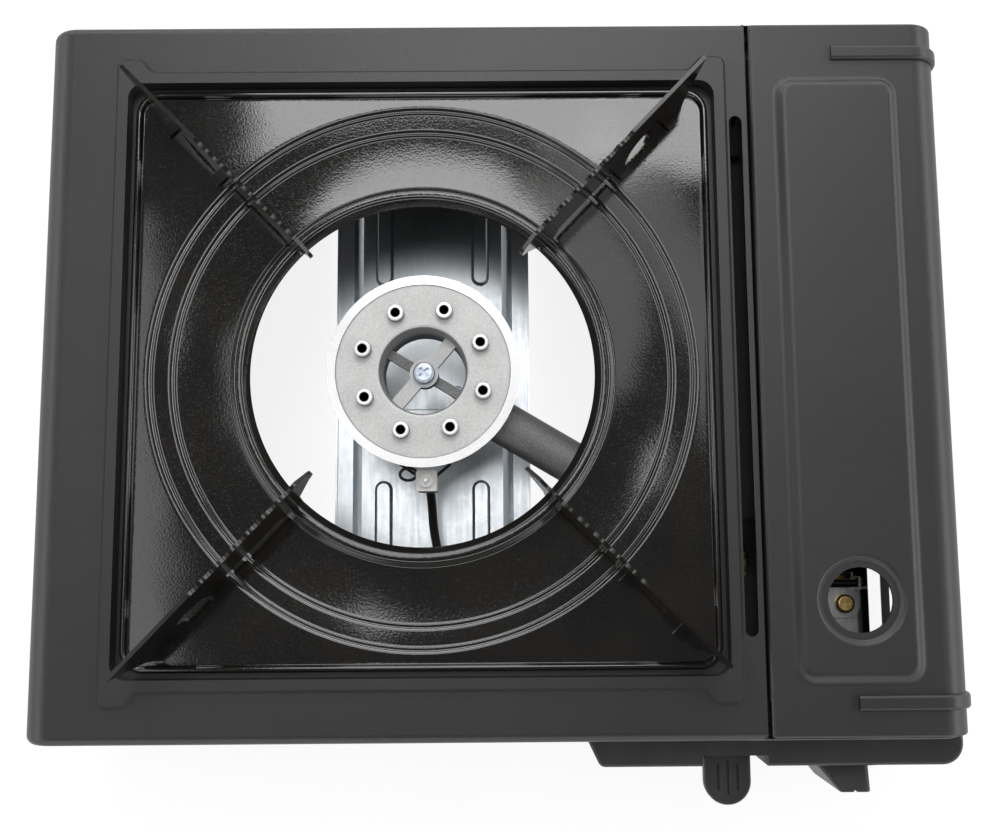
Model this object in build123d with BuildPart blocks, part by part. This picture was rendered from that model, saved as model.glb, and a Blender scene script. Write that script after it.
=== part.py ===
from build123d import *
import os
from math import atan2, cos, degrees, hypot, radians, sin

"""Portable single-burner gas stove that takes one lying cartridge, as separate pieces in one frame.

Millimetres. X runs to the right, Y to the rear and Z up. The origin is on the table, under the middle of the
overall box. Moving groups: lid, drip pan with its four supports, control knob, lock lever, cartridge pusher.
"""

# Case
overall_width = 346.3
case_depth = 271.5
deck_height = 85.0
foot_height = 6.0
sheet = 0.8
bend_radius = 11.0
edge_radius = 3.5
rail_width = 12.0
side_rail_width = 4.0
lever_reach = 28.0

# Lid over the cartridge bay
lid_width = 73.75
lid_rise = 1.0
lid_bend = 11.0
lid_edge = 1.2
lid_hem = 4.0
lid_wall_bottom = 14.0
lid_gap = 0.4
seam_gap = 1.25
rib_height = 1.6
rib_width = 5.6
rib_start = 31.5
rib_front_inset = 13.6
rib_rear_inset = 13.2
label_rise = 1.8
label_slope = 3.0
label_round = 3.6
label_left_inset = 9.4
label_width = 46.7
label_front_inset = 20.4
label_rear_inset = 23.2
label_corner = 7.0
finger_hole_dia = 23.7
finger_dish_dia = 32.0
finger_dish_depth = 1.4
finger_from_right = 40.1
finger_from_front = 50.1

# Lid hinge
hinge_inset = 1.8
hinge_drop = 2.6
hinge_pin_radius = 0.8
running_fit = 0.05
hinge_notch_length = 13.0
hinge_notch_clearance = 0.4
hinge_lug_offset = 5.0
hinge_plate = 1.2
hinge_lug_radius = 1.5
hinge_flange = 2.0
gutter_depth = 8.6
gutter_width = 6.0

# Deck opening and pan seat
opening = 224.0
opening_corner = 6.0
opening_left_margin = 33.0
opening_rear_margin = 24.0
burner_offset = 1.7
frame_rise = 2.0
frame_width = 5.0
frame_slope = 1.2
lobe_width = 12.0
lobe_reach = 5.2
lobe_slant = 2.2
lobe_bend = 3.6
seat_depth = 4.5
seat_width = 7.5
slot_width = 5.0
slot_length = 196.7
slot_from_edge = 4.4

# Drip pan
pan_clearance = 2.0
pan_sheet = 0.8
pan_corner = 9.0
pan_bead_width = 2.4
pan_bead_height = 2.8
pan_lift_gap = 0.3
ring_outer_radius = 102.6
ring_inner_radius = 94.4
ring_drop = 3.4
ring_step_run = 1.4
ring_step_bend = 1.9
lip_fold_radius = 72.6
lip_ridge_radius = 69.0
lip_hole_radius = 65.2
lip_rise = 3.6
lip_skirt = 4.0

# Pan supports
blade_sheet = 1.4
blade_height = 32.4
blade_inner_radius = 53.7
blade_outer_radius = 150.4
blade_heel_inset = 4.6
blade_inner_foot = 8.4
blade_arch_span = 13.0
blade_tab_length = 4.4
blade_ring_gap = 1.8
blade_scallop_start = 60.0
blade_scallop_end = 112.0
blade_scallops = 7
blade_scallop_depth = 1.2
blade_tab_width = 3.6

# Burner
burner_top = 76.0
burner_radius = 37.0
burner_rim_width = 3.5
burner_bowl_depth = 20.0
burner_wall = 2.5
burner_bore_top = 17.0
burner_bore_low = 16.0
cap_gap = 0.15
cap_thickness = 4.0
nozzle_count = 8
nozzle_circle_radius = 24.3
nozzle_radius = 3.3
nozzle_bore = 1.75
nozzle_height = 3.6
nozzle_start_angle = 25.3
strap_width = 5.3
strap_angle = 49.5
strap_depth = 7.0
strap_thickness = 2.6
hub_radius = 5.6
spoke_width = 3.8
screw_hole_radius = 2.0
centre_screw_head = 4.2
tube_radius = 8.5
tube_bore = 6.4
tube_axis_height = 57.0
injector_from_deck = 4.0
injector_from_front = 60.5

# Galvanised bridge under the burner
bridge_width = 84.4
bridge_step_outer = 35.0
bridge_step_inner = 30.4
bridge_rise = 4.8
bead_inner = 17.2
bead_outer = 25.0
bead_height = 1.8
bead_front_gap = 38.0
bead_rear_gap = 48.0
bridge_sheet = 0.8

# Igniter
ceramic_side = 8.0
ceramic_height = 14.0
ceramic_from_burner = 41.4
ceramic_shift = 0.7
ceramic_top_below = 10.0
lead_radius = 1.8

# Cartridge bay
cartridge_from_seam = 36.4
cartridge_z = 43.0
tray_from_lid_wall = 14.3
tray_rail_height = 10.0
inlet_from_front = 56.0
regulator_length = 31.0
regulator_left_reach = 18.0
regulator_right_reach = 7.8
regulator_height = 30.0

# Front panel, knob and lever
panel_from_deck_edge = 64.5
panel_slant = 5.5
panel_depth = 11.4
panel_bottom = 14.0
panel_top = 70.0
panel_wall = 2.0
panel_corner = 8.0
panel_edge = 1.5
knob_radius = 23.5
knob_disc = 4.2
knob_pocket_gap = 0.8
knob_pocket_depth = 4.5
knob_gap = 0.5
knob_grip_base = 21.5
knob_grip_top = 11.3
knob_grip_right = 5.4
knob_grip_length = 33.0
knob_grip_height = 11.2
knob_from_cartridge = 1.0
spindle_radius = 3.0
lever_from_deck_edge = 18.5
lever_width = 17.9
lever_tab_z = 53.5
lever_tab_thickness = 4.0
groove_pitch = 3.7
groove_width = 0.9
groove_depth = 0.7
lever_recess_margin = 2.5
lever_recess_depth = 4.0
lever_window_low = 33.0
lever_window_high = 60.0
lever_pivot_from_front = 23.5
lever_pivot_z = 45.0
lever_arm_length = 27.0
lever_arm_from_left = 8.5
lever_arm_sheet = 2.0
lever_pin_radius = 2.0
rod_from_deck_edge = 5.5
rod_radius = 1.5
pusher_from_rear = 21.5
pusher_arm_half = 3.4
pusher_travel = 11.8

# Fasteners and feet
screw_radius = 1.5
screw_head_radius = 3.0
screw_head_height = 2.0
foot_radius = 7.5

# Places worked out from the sizes above
left = -overall_width / 2
right = overall_width / 2
lid_right = right - rib_height
lid_left = lid_right - lid_width
deck_right = lid_left - seam_gap
rear = (case_depth + lever_reach) / 2
front = rear - case_depth
lever_tip = front - lever_reach
bay_right = lid_right - sheet - lid_gap - 0.2
lid_top = deck_height + lid_rise
cartridge_x = lid_left + cartridge_from_seam
tray_right = lid_right - tray_from_lid_wall
inlet_plane = front + inlet_from_front
injector_x = deck_right + injector_from_deck
injector_y = front + injector_from_front
panel_left = deck_right - panel_from_deck_edge
knob_x = cartridge_x + knob_from_cartridge
lever_left = deck_right - lever_from_deck_edge
lever_pivot_y = front + lever_pivot_from_front
lever_arm_x = lever_left + lever_arm_from_left
rod_x = deck_right - rod_from_deck_edge
pusher_face = rear - pusher_from_rear
burner_x = left + opening_left_margin + opening / 2
pan_y = rear - opening_rear_margin - opening / 2
burner_y = pan_y + burner_offset
seat_top = deck_height - seat_depth
pan_size = opening - 2 * pan_clearance
pan_bottom = seat_top + pan_lift_gap
pan_top = pan_bottom + pan_sheet
annulus_top = pan_top - ring_drop
lip_top = annulus_top + lip_rise
blade_top = pan_top + blade_height
floor_top = foot_height + sheet
bridge_top = floor_top + bridge_sheet + bridge_rise
partition_x = deck_right - 2 * sheet
hinge_x = lid_left + hinge_inset
hinge_z = lid_top - hinge_drop
panel_front = front - panel_depth
panel_right = right - 0.2
knob_z = cartridge_z
tube_angle = degrees(atan2(injector_y - burner_y, injector_x - burner_x))
burner_bottom = burner_top - burner_bowl_depth
lid_front = front + sheet + lid_gap
lid_rear = rear - sheet - lid_gap
lid_depth = lid_rear - lid_front
finger_x = lid_right - finger_from_right
finger_y = front + finger_from_front

os.makedirs("parts", exist_ok=True)


def block(x0: float, x1: float, y0: float, y1: float, z0: float, z1: float, mode: Mode = Mode.ADD) -> None:
    """Box between two corners, joined to or cut from the piece in hand."""
    with Locations(((x0 + x1) / 2, (y0 + y1) / 2, (z0 + z1) / 2)):
        Box(x1 - x0, y1 - y0, z1 - z0, mode=mode)


def rod(start: tuple, end: tuple, radius: float, mode: Mode = Mode.ADD) -> None:
    """Round bar or bore from one point to another."""
    run = Vector(*end) - Vector(*start)
    with Locations(Plane(origin=start, z_dir=run.normalized()).location):
        Cylinder(radius, run.length, align=(Align.CENTER, Align.CENTER, Align.MIN), mode=mode)


def upright(angle: float, middle_y: float) -> Plane:
    """Plane through an upright axis at an angle, whose x runs outwards and y runs up."""
    return Plane(
        origin=(burner_x, middle_y, 0),
        x_dir=(cos(radians(angle)), sin(radians(angle)), 0),
        z_dir=(sin(radians(angle)), -cos(radians(angle)), 0),
    )


burner_axis = Axis((burner_x, burner_y, 0), (0, 0, 1))
pan_axis = Axis((burner_x, pan_y, 0), (0, 0, 1))


def write(piece: Part, name: str) -> None:
    """Labels a finished piece and writes its STEP file."""
    piece.label = name
    export_step(piece, f"parts/{name}.step")


def cross_screw(head: tuple, run: tuple, length: float, head_radius: float, radius: float, head_height: float):
    """Cross-recess screw whose head's seat is at head and whose shank points along run."""
    seat = Plane(origin=head, z_dir=run)
    crown = Plane(origin=head, z_dir=tuple(-value for value in run))
    with BuildPart() as screw:
        with BuildSketch(crown):
            Circle(head_radius)
        extrude(amount=head_height)
        fillet(screw.faces().sort_by(Axis(head, tuple(crown.z_dir)))[-1].edges(), head_height * 0.45)
        with BuildSketch(crown.offset(head_height)):
            Rectangle(head_radius * 1.1, head_radius * 0.26)
            Rectangle(head_radius * 0.26, head_radius * 1.1)
        extrude(amount=-head_height * 0.6, mode=Mode.SUBTRACT)
        with BuildSketch(seat):
            Circle(radius)
        extrude(amount=length)
    return screw.part


def case_block(inset: float, low: float) -> Part:
    """Outer form of the pressed case, drawn in by inset, from a height up to the deck."""
    with BuildPart() as form:
        block(left + inset, bay_right - inset, front + inset, rear - inset, low, deck_height - inset)
        fillet(form.edges().filter_by(Axis.Y).group_by(Axis.Z)[-1].sort_by(Axis.X)[0], bend_radius - inset)
        fillet(form.edges().filter_by(Axis.Y).group_by(Axis.Z)[-1].sort_by(Axis.X)[-1], bend_radius - inset)
        ends = form.faces().filter_by(Axis.Y)
        rims = [edge for face in ends for edge in face.edges() if edge.center().Z > low + 0.1]
        fillet(rims, edge_radius - inset)
    return form.part


def frame_outline(grow: float) -> Sketch:
    """Raised frame round the deck opening, with a lobe at each corner."""
    half = opening / 2 + frame_width + grow
    reach = half + lobe_reach
    notch = half - lobe_width - 2 * grow
    quarter = [(half, reach), (notch + lobe_slant, reach), (notch - lobe_slant, half)]
    turns = [quarter, quarter[::-1], quarter, quarter[::-1]]
    signs = [(1, 1), (-1, 1), (-1, -1), (1, -1)]
    corners = [(burner_x + sx * x, pan_y + sy * y) for run, (sx, sy) in zip(turns, signs) for x, y in run]
    with BuildSketch() as outline:
        with BuildLine():
            Polyline(*corners, close=True)
        make_face()
        fillet([v for v in outline.vertices() if abs(abs(v.Y - pan_y) - half) < 0.1], lobe_bend)
        fillet([v for v in outline.vertices() if abs(abs(v.Y - pan_y) - reach) < 0.01], lobe_bend)
    return outline.sketch


# Screw places shared by the holes and the screws
bridge_screw_x = (bridge_width / 2 + bridge_step_outer) / 2
bridge_screws_at = [
    (burner_x + side * bridge_screw_x, y)
    for side in (-1, 1)
    for y in (front + rail_width / 2 + sheet, rear - rail_width / 2 - sheet)
]
tray_screws_at = [
    (x, y) for x in (deck_right + 12, tray_right - 20) for y in (front + rail_width / 2, rear - rail_width / 2)
]
panel_screws_at = [(panel_left + 16, 28.0), (panel_left + 16, 60.0), (panel_right - 66, 24.0), (panel_right - 10, 60.0)]
lug_front = front + hinge_lug_offset
lug_rear = rear - hinge_lug_offset
ear_front = lid_front + hinge_notch_length
ear_rear = lid_rear - hinge_notch_length

# Body shell
outer_form = case_block(0, foot_height)
inner_form = case_block(sheet, foot_height - 5)
mid_x = (left + bay_right) / 2
mid_y = (front + rear) / 2
with BuildPart() as body_shell:
    add(outer_form)
    with BuildSketch(Plane.XY.offset(deck_height - 0.01)):
        add(frame_outline(0))
    extrude(amount=frame_rise)
    chamfer(body_shell.faces().sort_by(Axis.Z)[-1].edges(), frame_rise - 0.3, frame_slope)
    add(inner_form, mode=Mode.SUBTRACT)
    with BuildSketch(Plane.XY.offset(deck_height - sheet - 0.01)):
        add(frame_outline(-sheet - frame_slope))
    extrude(amount=frame_rise, mode=Mode.SUBTRACT)
    with BuildSketch(Plane.XY.offset(seat_top - sheet)):
        with Locations((burner_x, pan_y)):
            RectangleRounded(opening + 2 * sheet, opening + 2 * sheet, opening_corner + sheet)
    extrude(amount=seat_depth + frame_rise)
    with BuildSketch(Plane.XY.offset(seat_top)):
        with Locations((burner_x, pan_y)):
            RectangleRounded(opening, opening, opening_corner)
    extrude(amount=seat_depth + frame_rise + 5, mode=Mode.SUBTRACT)
    with BuildSketch(Plane.XY.offset(seat_top - sheet - 1)):
        with Locations((burner_x, pan_y)):
            RectangleRounded(opening - 2 * seat_width, opening - 2 * seat_width, opening_corner)
    extrude(amount=sheet + 2, mode=Mode.SUBTRACT)
    with BuildSketch(Plane.XY.offset(foot_height)):
        with Locations((mid_x, mid_y)):
            RectangleRounded(bay_right - left, case_depth, edge_radius)
            Rectangle(bay_right - left - 2 * rail_width, case_depth - 2 * rail_width, mode=Mode.SUBTRACT)
    extrude(amount=sheet)
    block(deck_right, right, front + sheet, rear - sheet, floor_top, lid_top + 5, Mode.SUBTRACT)
    block(deck_right, right, front + rail_width, rear - rail_width, 0, lid_top + 5, Mode.SUBTRACT)
    block(bay_right - edge_radius, right + 5, front - 5, rear + 5, 0, lid_top + 5, Mode.SUBTRACT)
    block(
        bay_right - side_rail_width, bay_right - lid_gap, front + edge_radius, rear - edge_radius, foot_height,
        floor_top,
    )
    gutter = deck_height - gutter_depth
    block(deck_right - sheet, deck_right, front + sheet, rear - sheet, gutter, deck_height - sheet / 2)
    block(deck_right - sheet, deck_right + gutter_width, front + sheet, rear - sheet, gutter, gutter + sheet)
    with BuildSketch(Plane.XY.offset(deck_height + 5)):
        with Locations((deck_right - slot_from_edge, pan_y)):
            SlotOverall(slot_length, slot_width, rotation=90)
    extrude(amount=-sheet - 8, mode=Mode.SUBTRACT)
    for lug_y, inward in ((lug_front, 1), (lug_rear, -1)):
        with BuildSketch(Plane(origin=(0, lug_y, 0), x_dir=(1, 0, 0), z_dir=(0, -1, 0))):
            with Locations((hinge_x, hinge_z)):
                Circle(hinge_lug_radius)
            with Locations((hinge_x, (gutter + hinge_z) / 2)):
                Rectangle(2 * hinge_lug_radius, hinge_z - gutter)
            with Locations((hinge_x, hinge_z)):
                Circle(hinge_pin_radius, mode=Mode.SUBTRACT)
        extrude(amount=-inward * hinge_plate)
    with Locations(*[(x, y, foot_height) for x, y in bridge_screws_at + tray_screws_at]):
        Cylinder(screw_radius, 4 * sheet, mode=Mode.SUBTRACT)
    for x, z in panel_screws_at:
        rod((x, front - 1, z), (x, front + 2 * sheet, z), screw_radius, Mode.SUBTRACT)
    rod((knob_x, front - 1, knob_z), (knob_x, front + 2, knob_z), spindle_radius + 4, Mode.SUBTRACT)
    block(
        lever_left - 1, lever_left + lever_width + 1, front - 1, front + 2, lever_window_low, lever_window_high,
        Mode.SUBTRACT,
    )
write(body_shell.part, "body_shell")

# Drip pan
half_run = ring_step_run / 2
half_sheet = pan_sheet / 2
pan_path = [
    (ring_outer_radius + 2.5, pan_top - half_sheet),
    (ring_outer_radius + half_run, pan_top - half_sheet),
    (ring_outer_radius - half_run, pan_top - ring_drop / 2 - half_sheet),
    (ring_inner_radius + half_run, pan_top - ring_drop / 2 - half_sheet),
    (ring_inner_radius - half_run, annulus_top - half_sheet),
    (lip_fold_radius, annulus_top - half_sheet),
    (lip_ridge_radius + 1.4, lip_top - half_sheet),
    (lip_ridge_radius - 1.0, lip_top - half_sheet),
    (lip_hole_radius + half_sheet, lip_top - lip_skirt),
]
with BuildPart() as drip_pan:
    with BuildSketch(Plane.XY.offset(pan_bottom)):
        with Locations((burner_x, pan_y)):
            RectangleRounded(pan_size, pan_size, pan_corner)
            Circle(ring_outer_radius + 2, mode=Mode.SUBTRACT)
    extrude(amount=pan_sheet)
    with BuildSketch(Plane.XY.offset(pan_bottom)):
        with Locations((burner_x, pan_y)):
            RectangleRounded(pan_size, pan_size, pan_corner)
            inside = pan_size - 2 * pan_bead_width
            RectangleRounded(inside, inside, pan_corner - pan_bead_width, mode=Mode.SUBTRACT)
    extrude(amount=pan_bead_height)
    fillet(drip_pan.faces().sort_by(Axis.Z)[-1].edges(), pan_bead_width * 0.44)
    with BuildSketch(upright(0, pan_y)):
        with BuildLine():
            FilletPolyline(*pan_path, radius=[ring_step_bend] * 4 + [1.6, 1.3, 1.2])
        trace(line_width=pan_sheet)
    revolve(axis=pan_axis)
write(drip_pan.part, "drip_pan")


blade_places = (
    ("rear_right", 46.4, 1),
    ("rear_left", 134.7, -1),
    ("front_left", 226.4, -1),
    ("front_right", 315.1, 1),
)


def support(angle: float, side: int) -> Part:
    """Pan support blade on a diagonal of the pan, with two bent feet welded to the pan's field."""
    foot = pan_top
    pitch = (blade_scallop_end - blade_scallop_start) / blade_scallops
    low = foot + 6.4
    foot_start = ring_outer_radius + blade_ring_gap
    inner_foot = (foot_start, foot_start + blade_inner_foot)
    outer_foot = (inner_foot[1] + blade_arch_span, blade_outer_radius - blade_heel_inset)
    arch_middle = (inner_foot[1] + outer_foot[0]) / 2
    plane = upright(angle, pan_y)
    with BuildPart() as blade:
        with BuildSketch(plane):
            with BuildLine():
                for step in range(blade_scallops):
                    near = blade_scallop_start + step * pitch
                    ThreePointArc(
                        (near, blade_top),
                        (near + pitch / 2, blade_top - blade_scallop_depth),
                        (near + pitch, blade_top),
                    )
                Polyline(
                    (blade_scallop_end, blade_top),
                    (blade_outer_radius, blade_top),
                    (outer_foot[1] + 1.6, foot + 14),
                    (outer_foot[1], foot),
                    (outer_foot[0], foot),
                    (outer_foot[0] - 0.6, foot + 4),
                    (outer_foot[0] + 0.9, foot + 11),
                )
                ThreePointArc(
                    (outer_foot[0] + 0.9, foot + 11),
                    (arch_middle, foot + 12.5),
                    (inner_foot[1] + 0.9, foot + 6),
                )
                Polyline(
                    (inner_foot[1] + 0.9, foot + 6),
                    (inner_foot[1], foot),
                    (inner_foot[0], foot),
                    (inner_foot[0] - 1.6, low),
                    (lip_fold_radius + 2.0, low),
                    (lip_fold_radius + 0.6, lip_top),
                    (lip_hole_radius - 0.4, lip_top),
                    (lip_hole_radius - 1.4, lip_top + 9),
                    (blade_inner_radius + 2.6, blade_top - 11.5),
                )
                ThreePointArc(
                    (blade_inner_radius + 2.6, blade_top - 11.5),
                    (blade_inner_radius, blade_top - 8.0),
                    (blade_inner_radius + 1.6, blade_top - 4.4),
                )
                Line((blade_inner_radius + 1.6, blade_top - 4.4), (blade_scallop_start, blade_top))
            make_face()
        extrude(amount=blade_sheet / 2, both=True)
        for inner, outer in (inner_foot, outer_foot):
            with BuildSketch(plane.offset(side * blade_sheet / 2)):
                with Locations(((inner + outer) / 2, foot + blade_sheet / 2)):
                    Rectangle(blade_tab_length, blade_sheet)
            extrude(amount=side * blade_tab_width)
    return blade.part


for corner, angle, side in blade_places:
    write(support(angle, side), f"pan_support_{corner}")

# Burner body: ring bowl, machined rim, mixing tube and lower spokes
tube_run = hypot(injector_x - burner_x, injector_y - burner_y) - 14.0
tube_x = cos(radians(tube_angle))
tube_y = sin(radians(tube_angle))


def along_tube(distance: float) -> tuple:
    """Point on the mixing tube's axis, at a distance from the burner's axis."""
    return (burner_x + distance * tube_x, burner_y + distance * tube_y, tube_axis_height)


rim_inner = burner_radius - burner_rim_width
cap_seat = burner_top - 0.4 - cap_thickness
hub_top = burner_top - strap_depth - strap_thickness
spoke_thickness = 3.0
with BuildPart() as burner_body:
    with BuildSketch(upright(0, burner_y)):
        with BuildLine():
            Polyline(
                (burner_bore_low, burner_bottom),
                (burner_radius - 6, burner_bottom),
                (burner_radius - 1, burner_bottom + 6),
                (burner_radius, burner_top),
                (rim_inner, burner_top),
                (rim_inner, cap_seat),
                (rim_inner - burner_wall, cap_seat),
                (rim_inner - burner_wall, burner_bottom + burner_wall + 4),
                (rim_inner - burner_wall - 3, burner_bottom + burner_wall),
                (burner_bore_low + burner_wall, burner_bottom + burner_wall),
                (burner_bore_low + burner_wall, hub_top),
                (burner_bore_low, hub_top),
                close=True,
            )
        make_face()
    revolve(axis=burner_axis)
    rod(along_tube(burner_radius - 8), along_tube(tube_run), tube_radius)
    rod(along_tube(tube_run - 10), along_tube(tube_run), tube_radius + 1.5)
    rod(along_tube(burner_radius - 12), along_tube(tube_run + 1), tube_bore, Mode.SUBTRACT)
    with BuildSketch(Plane(origin=(burner_x, burner_y, hub_top), x_dir=(tube_x, tube_y, 0), z_dir=(0, 0, 1))):
        Rectangle(2 * burner_bore_low + 2, spoke_width)
        Circle(hub_radius)
    extrude(amount=-spoke_thickness)
    with Locations((burner_x, burner_y, hub_top)):
        Cylinder(screw_hole_radius, 20, mode=Mode.SUBTRACT)
write(burner_body.part, "burner_body")

# Burner cap: face with nozzles, bore wall and upper strap
with BuildPart() as burner_cap:
    with BuildSketch(upright(0, burner_y)):
        with BuildLine():
            Polyline(
                (burner_bore_top, burner_top - 0.4),
                (rim_inner - cap_gap, burner_top - 0.4),
                (rim_inner - cap_gap, cap_seat),
                (burner_bore_top + 4, cap_seat),
                (burner_bore_top + 3, hub_top),
                (burner_bore_low, hub_top),
                (burner_bore_low + 0.2, cap_seat),
                close=True,
            )
        make_face()
    revolve(axis=burner_axis)
    bore_rim = burner_cap.edges().filter_by(GeomType.CIRCLE).group_by(Axis.Z)[-1].sort_by(SortBy.RADIUS)[0]
    fillet(bore_rim, 1.2)
    with BuildSketch(Plane.XY.offset(burner_top - 0.4)):
        with Locations((burner_x, burner_y)):
            with PolarLocations(nozzle_circle_radius, nozzle_count, start_angle=nozzle_start_angle):
                Circle(nozzle_radius)
    extrude(amount=nozzle_height)
    nozzle_rims = burner_cap.edges().filter_by(GeomType.CIRCLE).group_by(Axis.Z)[-1]
    fillet(nozzle_rims, 0.6)
    with BuildSketch(Plane.XY.offset(burner_top + nozzle_height)):
        with Locations((burner_x, burner_y)):
            with PolarLocations(nozzle_circle_radius, nozzle_count, start_angle=nozzle_start_angle):
                Circle(nozzle_bore)
    extrude(amount=-nozzle_height - cap_thickness - 2, mode=Mode.SUBTRACT)
    with BuildSketch(Plane.XY.offset(hub_top)):
        with Locations((burner_x, burner_y)):
            Rectangle(2 * burner_bore_low + 2.5, strap_width, rotation=strap_angle)
            Circle(hub_radius)
    extrude(amount=strap_thickness)
    with Locations((burner_x, burner_y, hub_top)):
        Cylinder(screw_hole_radius, 20, mode=Mode.SUBTRACT)
write(burner_cap.part, "burner_cap")

bracket_top = hub_top - spoke_thickness
centre_screw = cross_screw(
    (burner_x, burner_y, hub_top + strap_thickness), (0, 0, -1), strap_thickness + spoke_thickness + 2.0,
    centre_screw_head, screw_hole_radius, 2.6,
)
write(centre_screw, "burner_screw")

# Bracket that carries the burner on the bridge
leg_middle = burner_bore_low + 4.6
leg_width = 14.0
leg_flange = 9.0
bracket_sheet = 1.2
bracket_screw_xs = [burner_x - 11.0, burner_x + 11.0]
with BuildPart() as burner_bracket:
    leg_y0 = burner_y - leg_width / 2
    leg_y1 = burner_y + leg_width / 2
    block(burner_x - leg_middle, burner_x + leg_middle, leg_y0, leg_y1, bridge_top, bridge_top + bracket_sheet)
    for side in (-1, 1):
        leg_x = burner_x + side * leg_middle
        tip_x = leg_x + side * leg_flange
        block(leg_x - bracket_sheet / 2, leg_x + bracket_sheet / 2, leg_y0, leg_y1, bridge_top, burner_bottom)
        block(min(leg_x, tip_x), max(leg_x, tip_x), leg_y0, leg_y1, burner_bottom - bracket_sheet, burner_bottom)
    with Locations(*[(x, burner_y, bridge_top) for x in bracket_screw_xs]):
        Cylinder(screw_radius, 6, mode=Mode.SUBTRACT)
write(burner_bracket.part, "burner_bracket")

# Galvanised bridge
half_bridge = bridge_width / 2
bridge_low = floor_top
with BuildPart() as burner_bridge:
    with BuildSketch(Plane(origin=(burner_x, rear - sheet - lid_gap, 0), x_dir=(1, 0, 0), z_dir=(0, -1, 0))):
        with BuildLine():
            Polyline(
                (-half_bridge, bridge_low + 2.4),
                (-half_bridge, bridge_low + bridge_sheet / 2),
                (-bridge_step_outer, bridge_low + bridge_sheet / 2),
                (-bridge_step_inner, bridge_top - bridge_sheet / 2),
                (bridge_step_inner, bridge_top - bridge_sheet / 2),
                (bridge_step_outer, bridge_low + bridge_sheet / 2),
                (half_bridge, bridge_low + bridge_sheet / 2),
                (half_bridge, bridge_low + 2.4),
            )
        trace(line_width=bridge_sheet)
    extrude(amount=case_depth - 2 * (sheet + lid_gap))
    bead_spans = (
        (front + rail_width + 4, burner_y - bead_front_gap),
        (burner_y + bead_rear_gap, rear - rail_width - 4),
    )
    for bead_front, bead_rear in bead_spans:
        for side in (-1, 1):
            bead_x = burner_x + side * (bead_inner + bead_outer) / 2
            bead_at = (bead_x, (bead_front + bead_rear) / 2)
            with BuildSketch(Plane.XY.offset(bridge_top - 0.01)):
                with Locations(bead_at):
                    SlotOverall(bead_rear - bead_front, bead_outer - bead_inner, rotation=90)
            extrude(amount=bead_height, taper=35)
            with BuildSketch(Plane.XY.offset(bridge_top - bridge_sheet - 0.01)):
                with Locations(bead_at):
                    SlotOverall(bead_rear - bead_front - 1, bead_outer - bead_inner - 1, rotation=90)
            extrude(amount=bead_height, taper=35, mode=Mode.SUBTRACT)
    with Locations(*[(x, y, floor_top) for x, y in bridge_screws_at]):
        Cylinder(screw_radius, 6, mode=Mode.SUBTRACT)
    with Locations(*[(x, burner_y, bridge_top) for x in bracket_screw_xs]):
        Cylinder(screw_radius, 6, mode=Mode.SUBTRACT)
write(burner_bridge.part, "burner_bridge")

# Partition between the burner chamber and the cartridge bay
guide_ys = (front + 79.0, rear - 51.0)
rod_z = lever_pivot_z + lever_arm_length
partition_low = floor_top + sheet
lead_hole_y = front + sheet + 8.7
lead_hole_z = 14.4
with BuildPart() as partition_plate:
    block(partition_x, partition_x + sheet, front + 1.2, rear - 1.2, partition_low, deck_height - 4.0)
    block(partition_x, deck_right + 10, front + 30, rear - 25, partition_low, partition_low + sheet)
    block(
        partition_x - 1, partition_x + 2, front, lever_pivot_y - 5, lever_window_low - 4, lever_window_high + 4,
        Mode.SUBTRACT,
    )
    crossing = (partition_x - injector_x) / tube_x
    hole_y = injector_y + crossing * tube_y
    rod(
        (partition_x - 1, hole_y, tube_axis_height), (partition_x + 2, hole_y, tube_axis_height), tube_radius,
        Mode.SUBTRACT,
    )
    block(
        partition_x - 1, partition_x + 2, pusher_face - pusher_travel - 2, pusher_face + 4, rod_z - 6, rod_z + 6,
        Mode.SUBTRACT,
    )
    block(
        partition_x - 1, partition_x + 2, front, lead_hole_y + lead_radius + 1.5, 0, lead_hole_z + lead_radius + 1.5,
        Mode.SUBTRACT,
    )
    for guide_y in guide_ys:
        block(rod_x - 3.5, partition_x, guide_y, guide_y + sheet, rod_z - 4, rod_z + 4)
        rod((rod_x, guide_y - 1, rod_z), (rod_x, guide_y + 2, rod_z), rod_radius + running_fit, Mode.SUBTRACT)
write(partition_plate.part, "partition_plate")

# Cartridge tray
tray_left = deck_right - 0.5
with BuildPart() as cartridge_tray:
    block(tray_left, tray_right, front + 1.2, rear - 1.2, floor_top, floor_top + sheet)
    block(tray_right - sheet, tray_right, front + 1.2, rear - 1.2, floor_top, floor_top + tray_rail_height)
    with Locations(*[(x, y, floor_top) for x, y in tray_screws_at]):
        Cylinder(screw_radius, 6, mode=Mode.SUBTRACT)
    with BuildSketch(Plane.XY.offset(floor_top)):
        with Locations((cartridge_x, 20), (cartridge_x, 80)):
            SlotOverall(40, 8, rotation=90)
    extrude(amount=sheet, mode=Mode.SUBTRACT)
write(cartridge_tray.part, "cartridge_tray")

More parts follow.
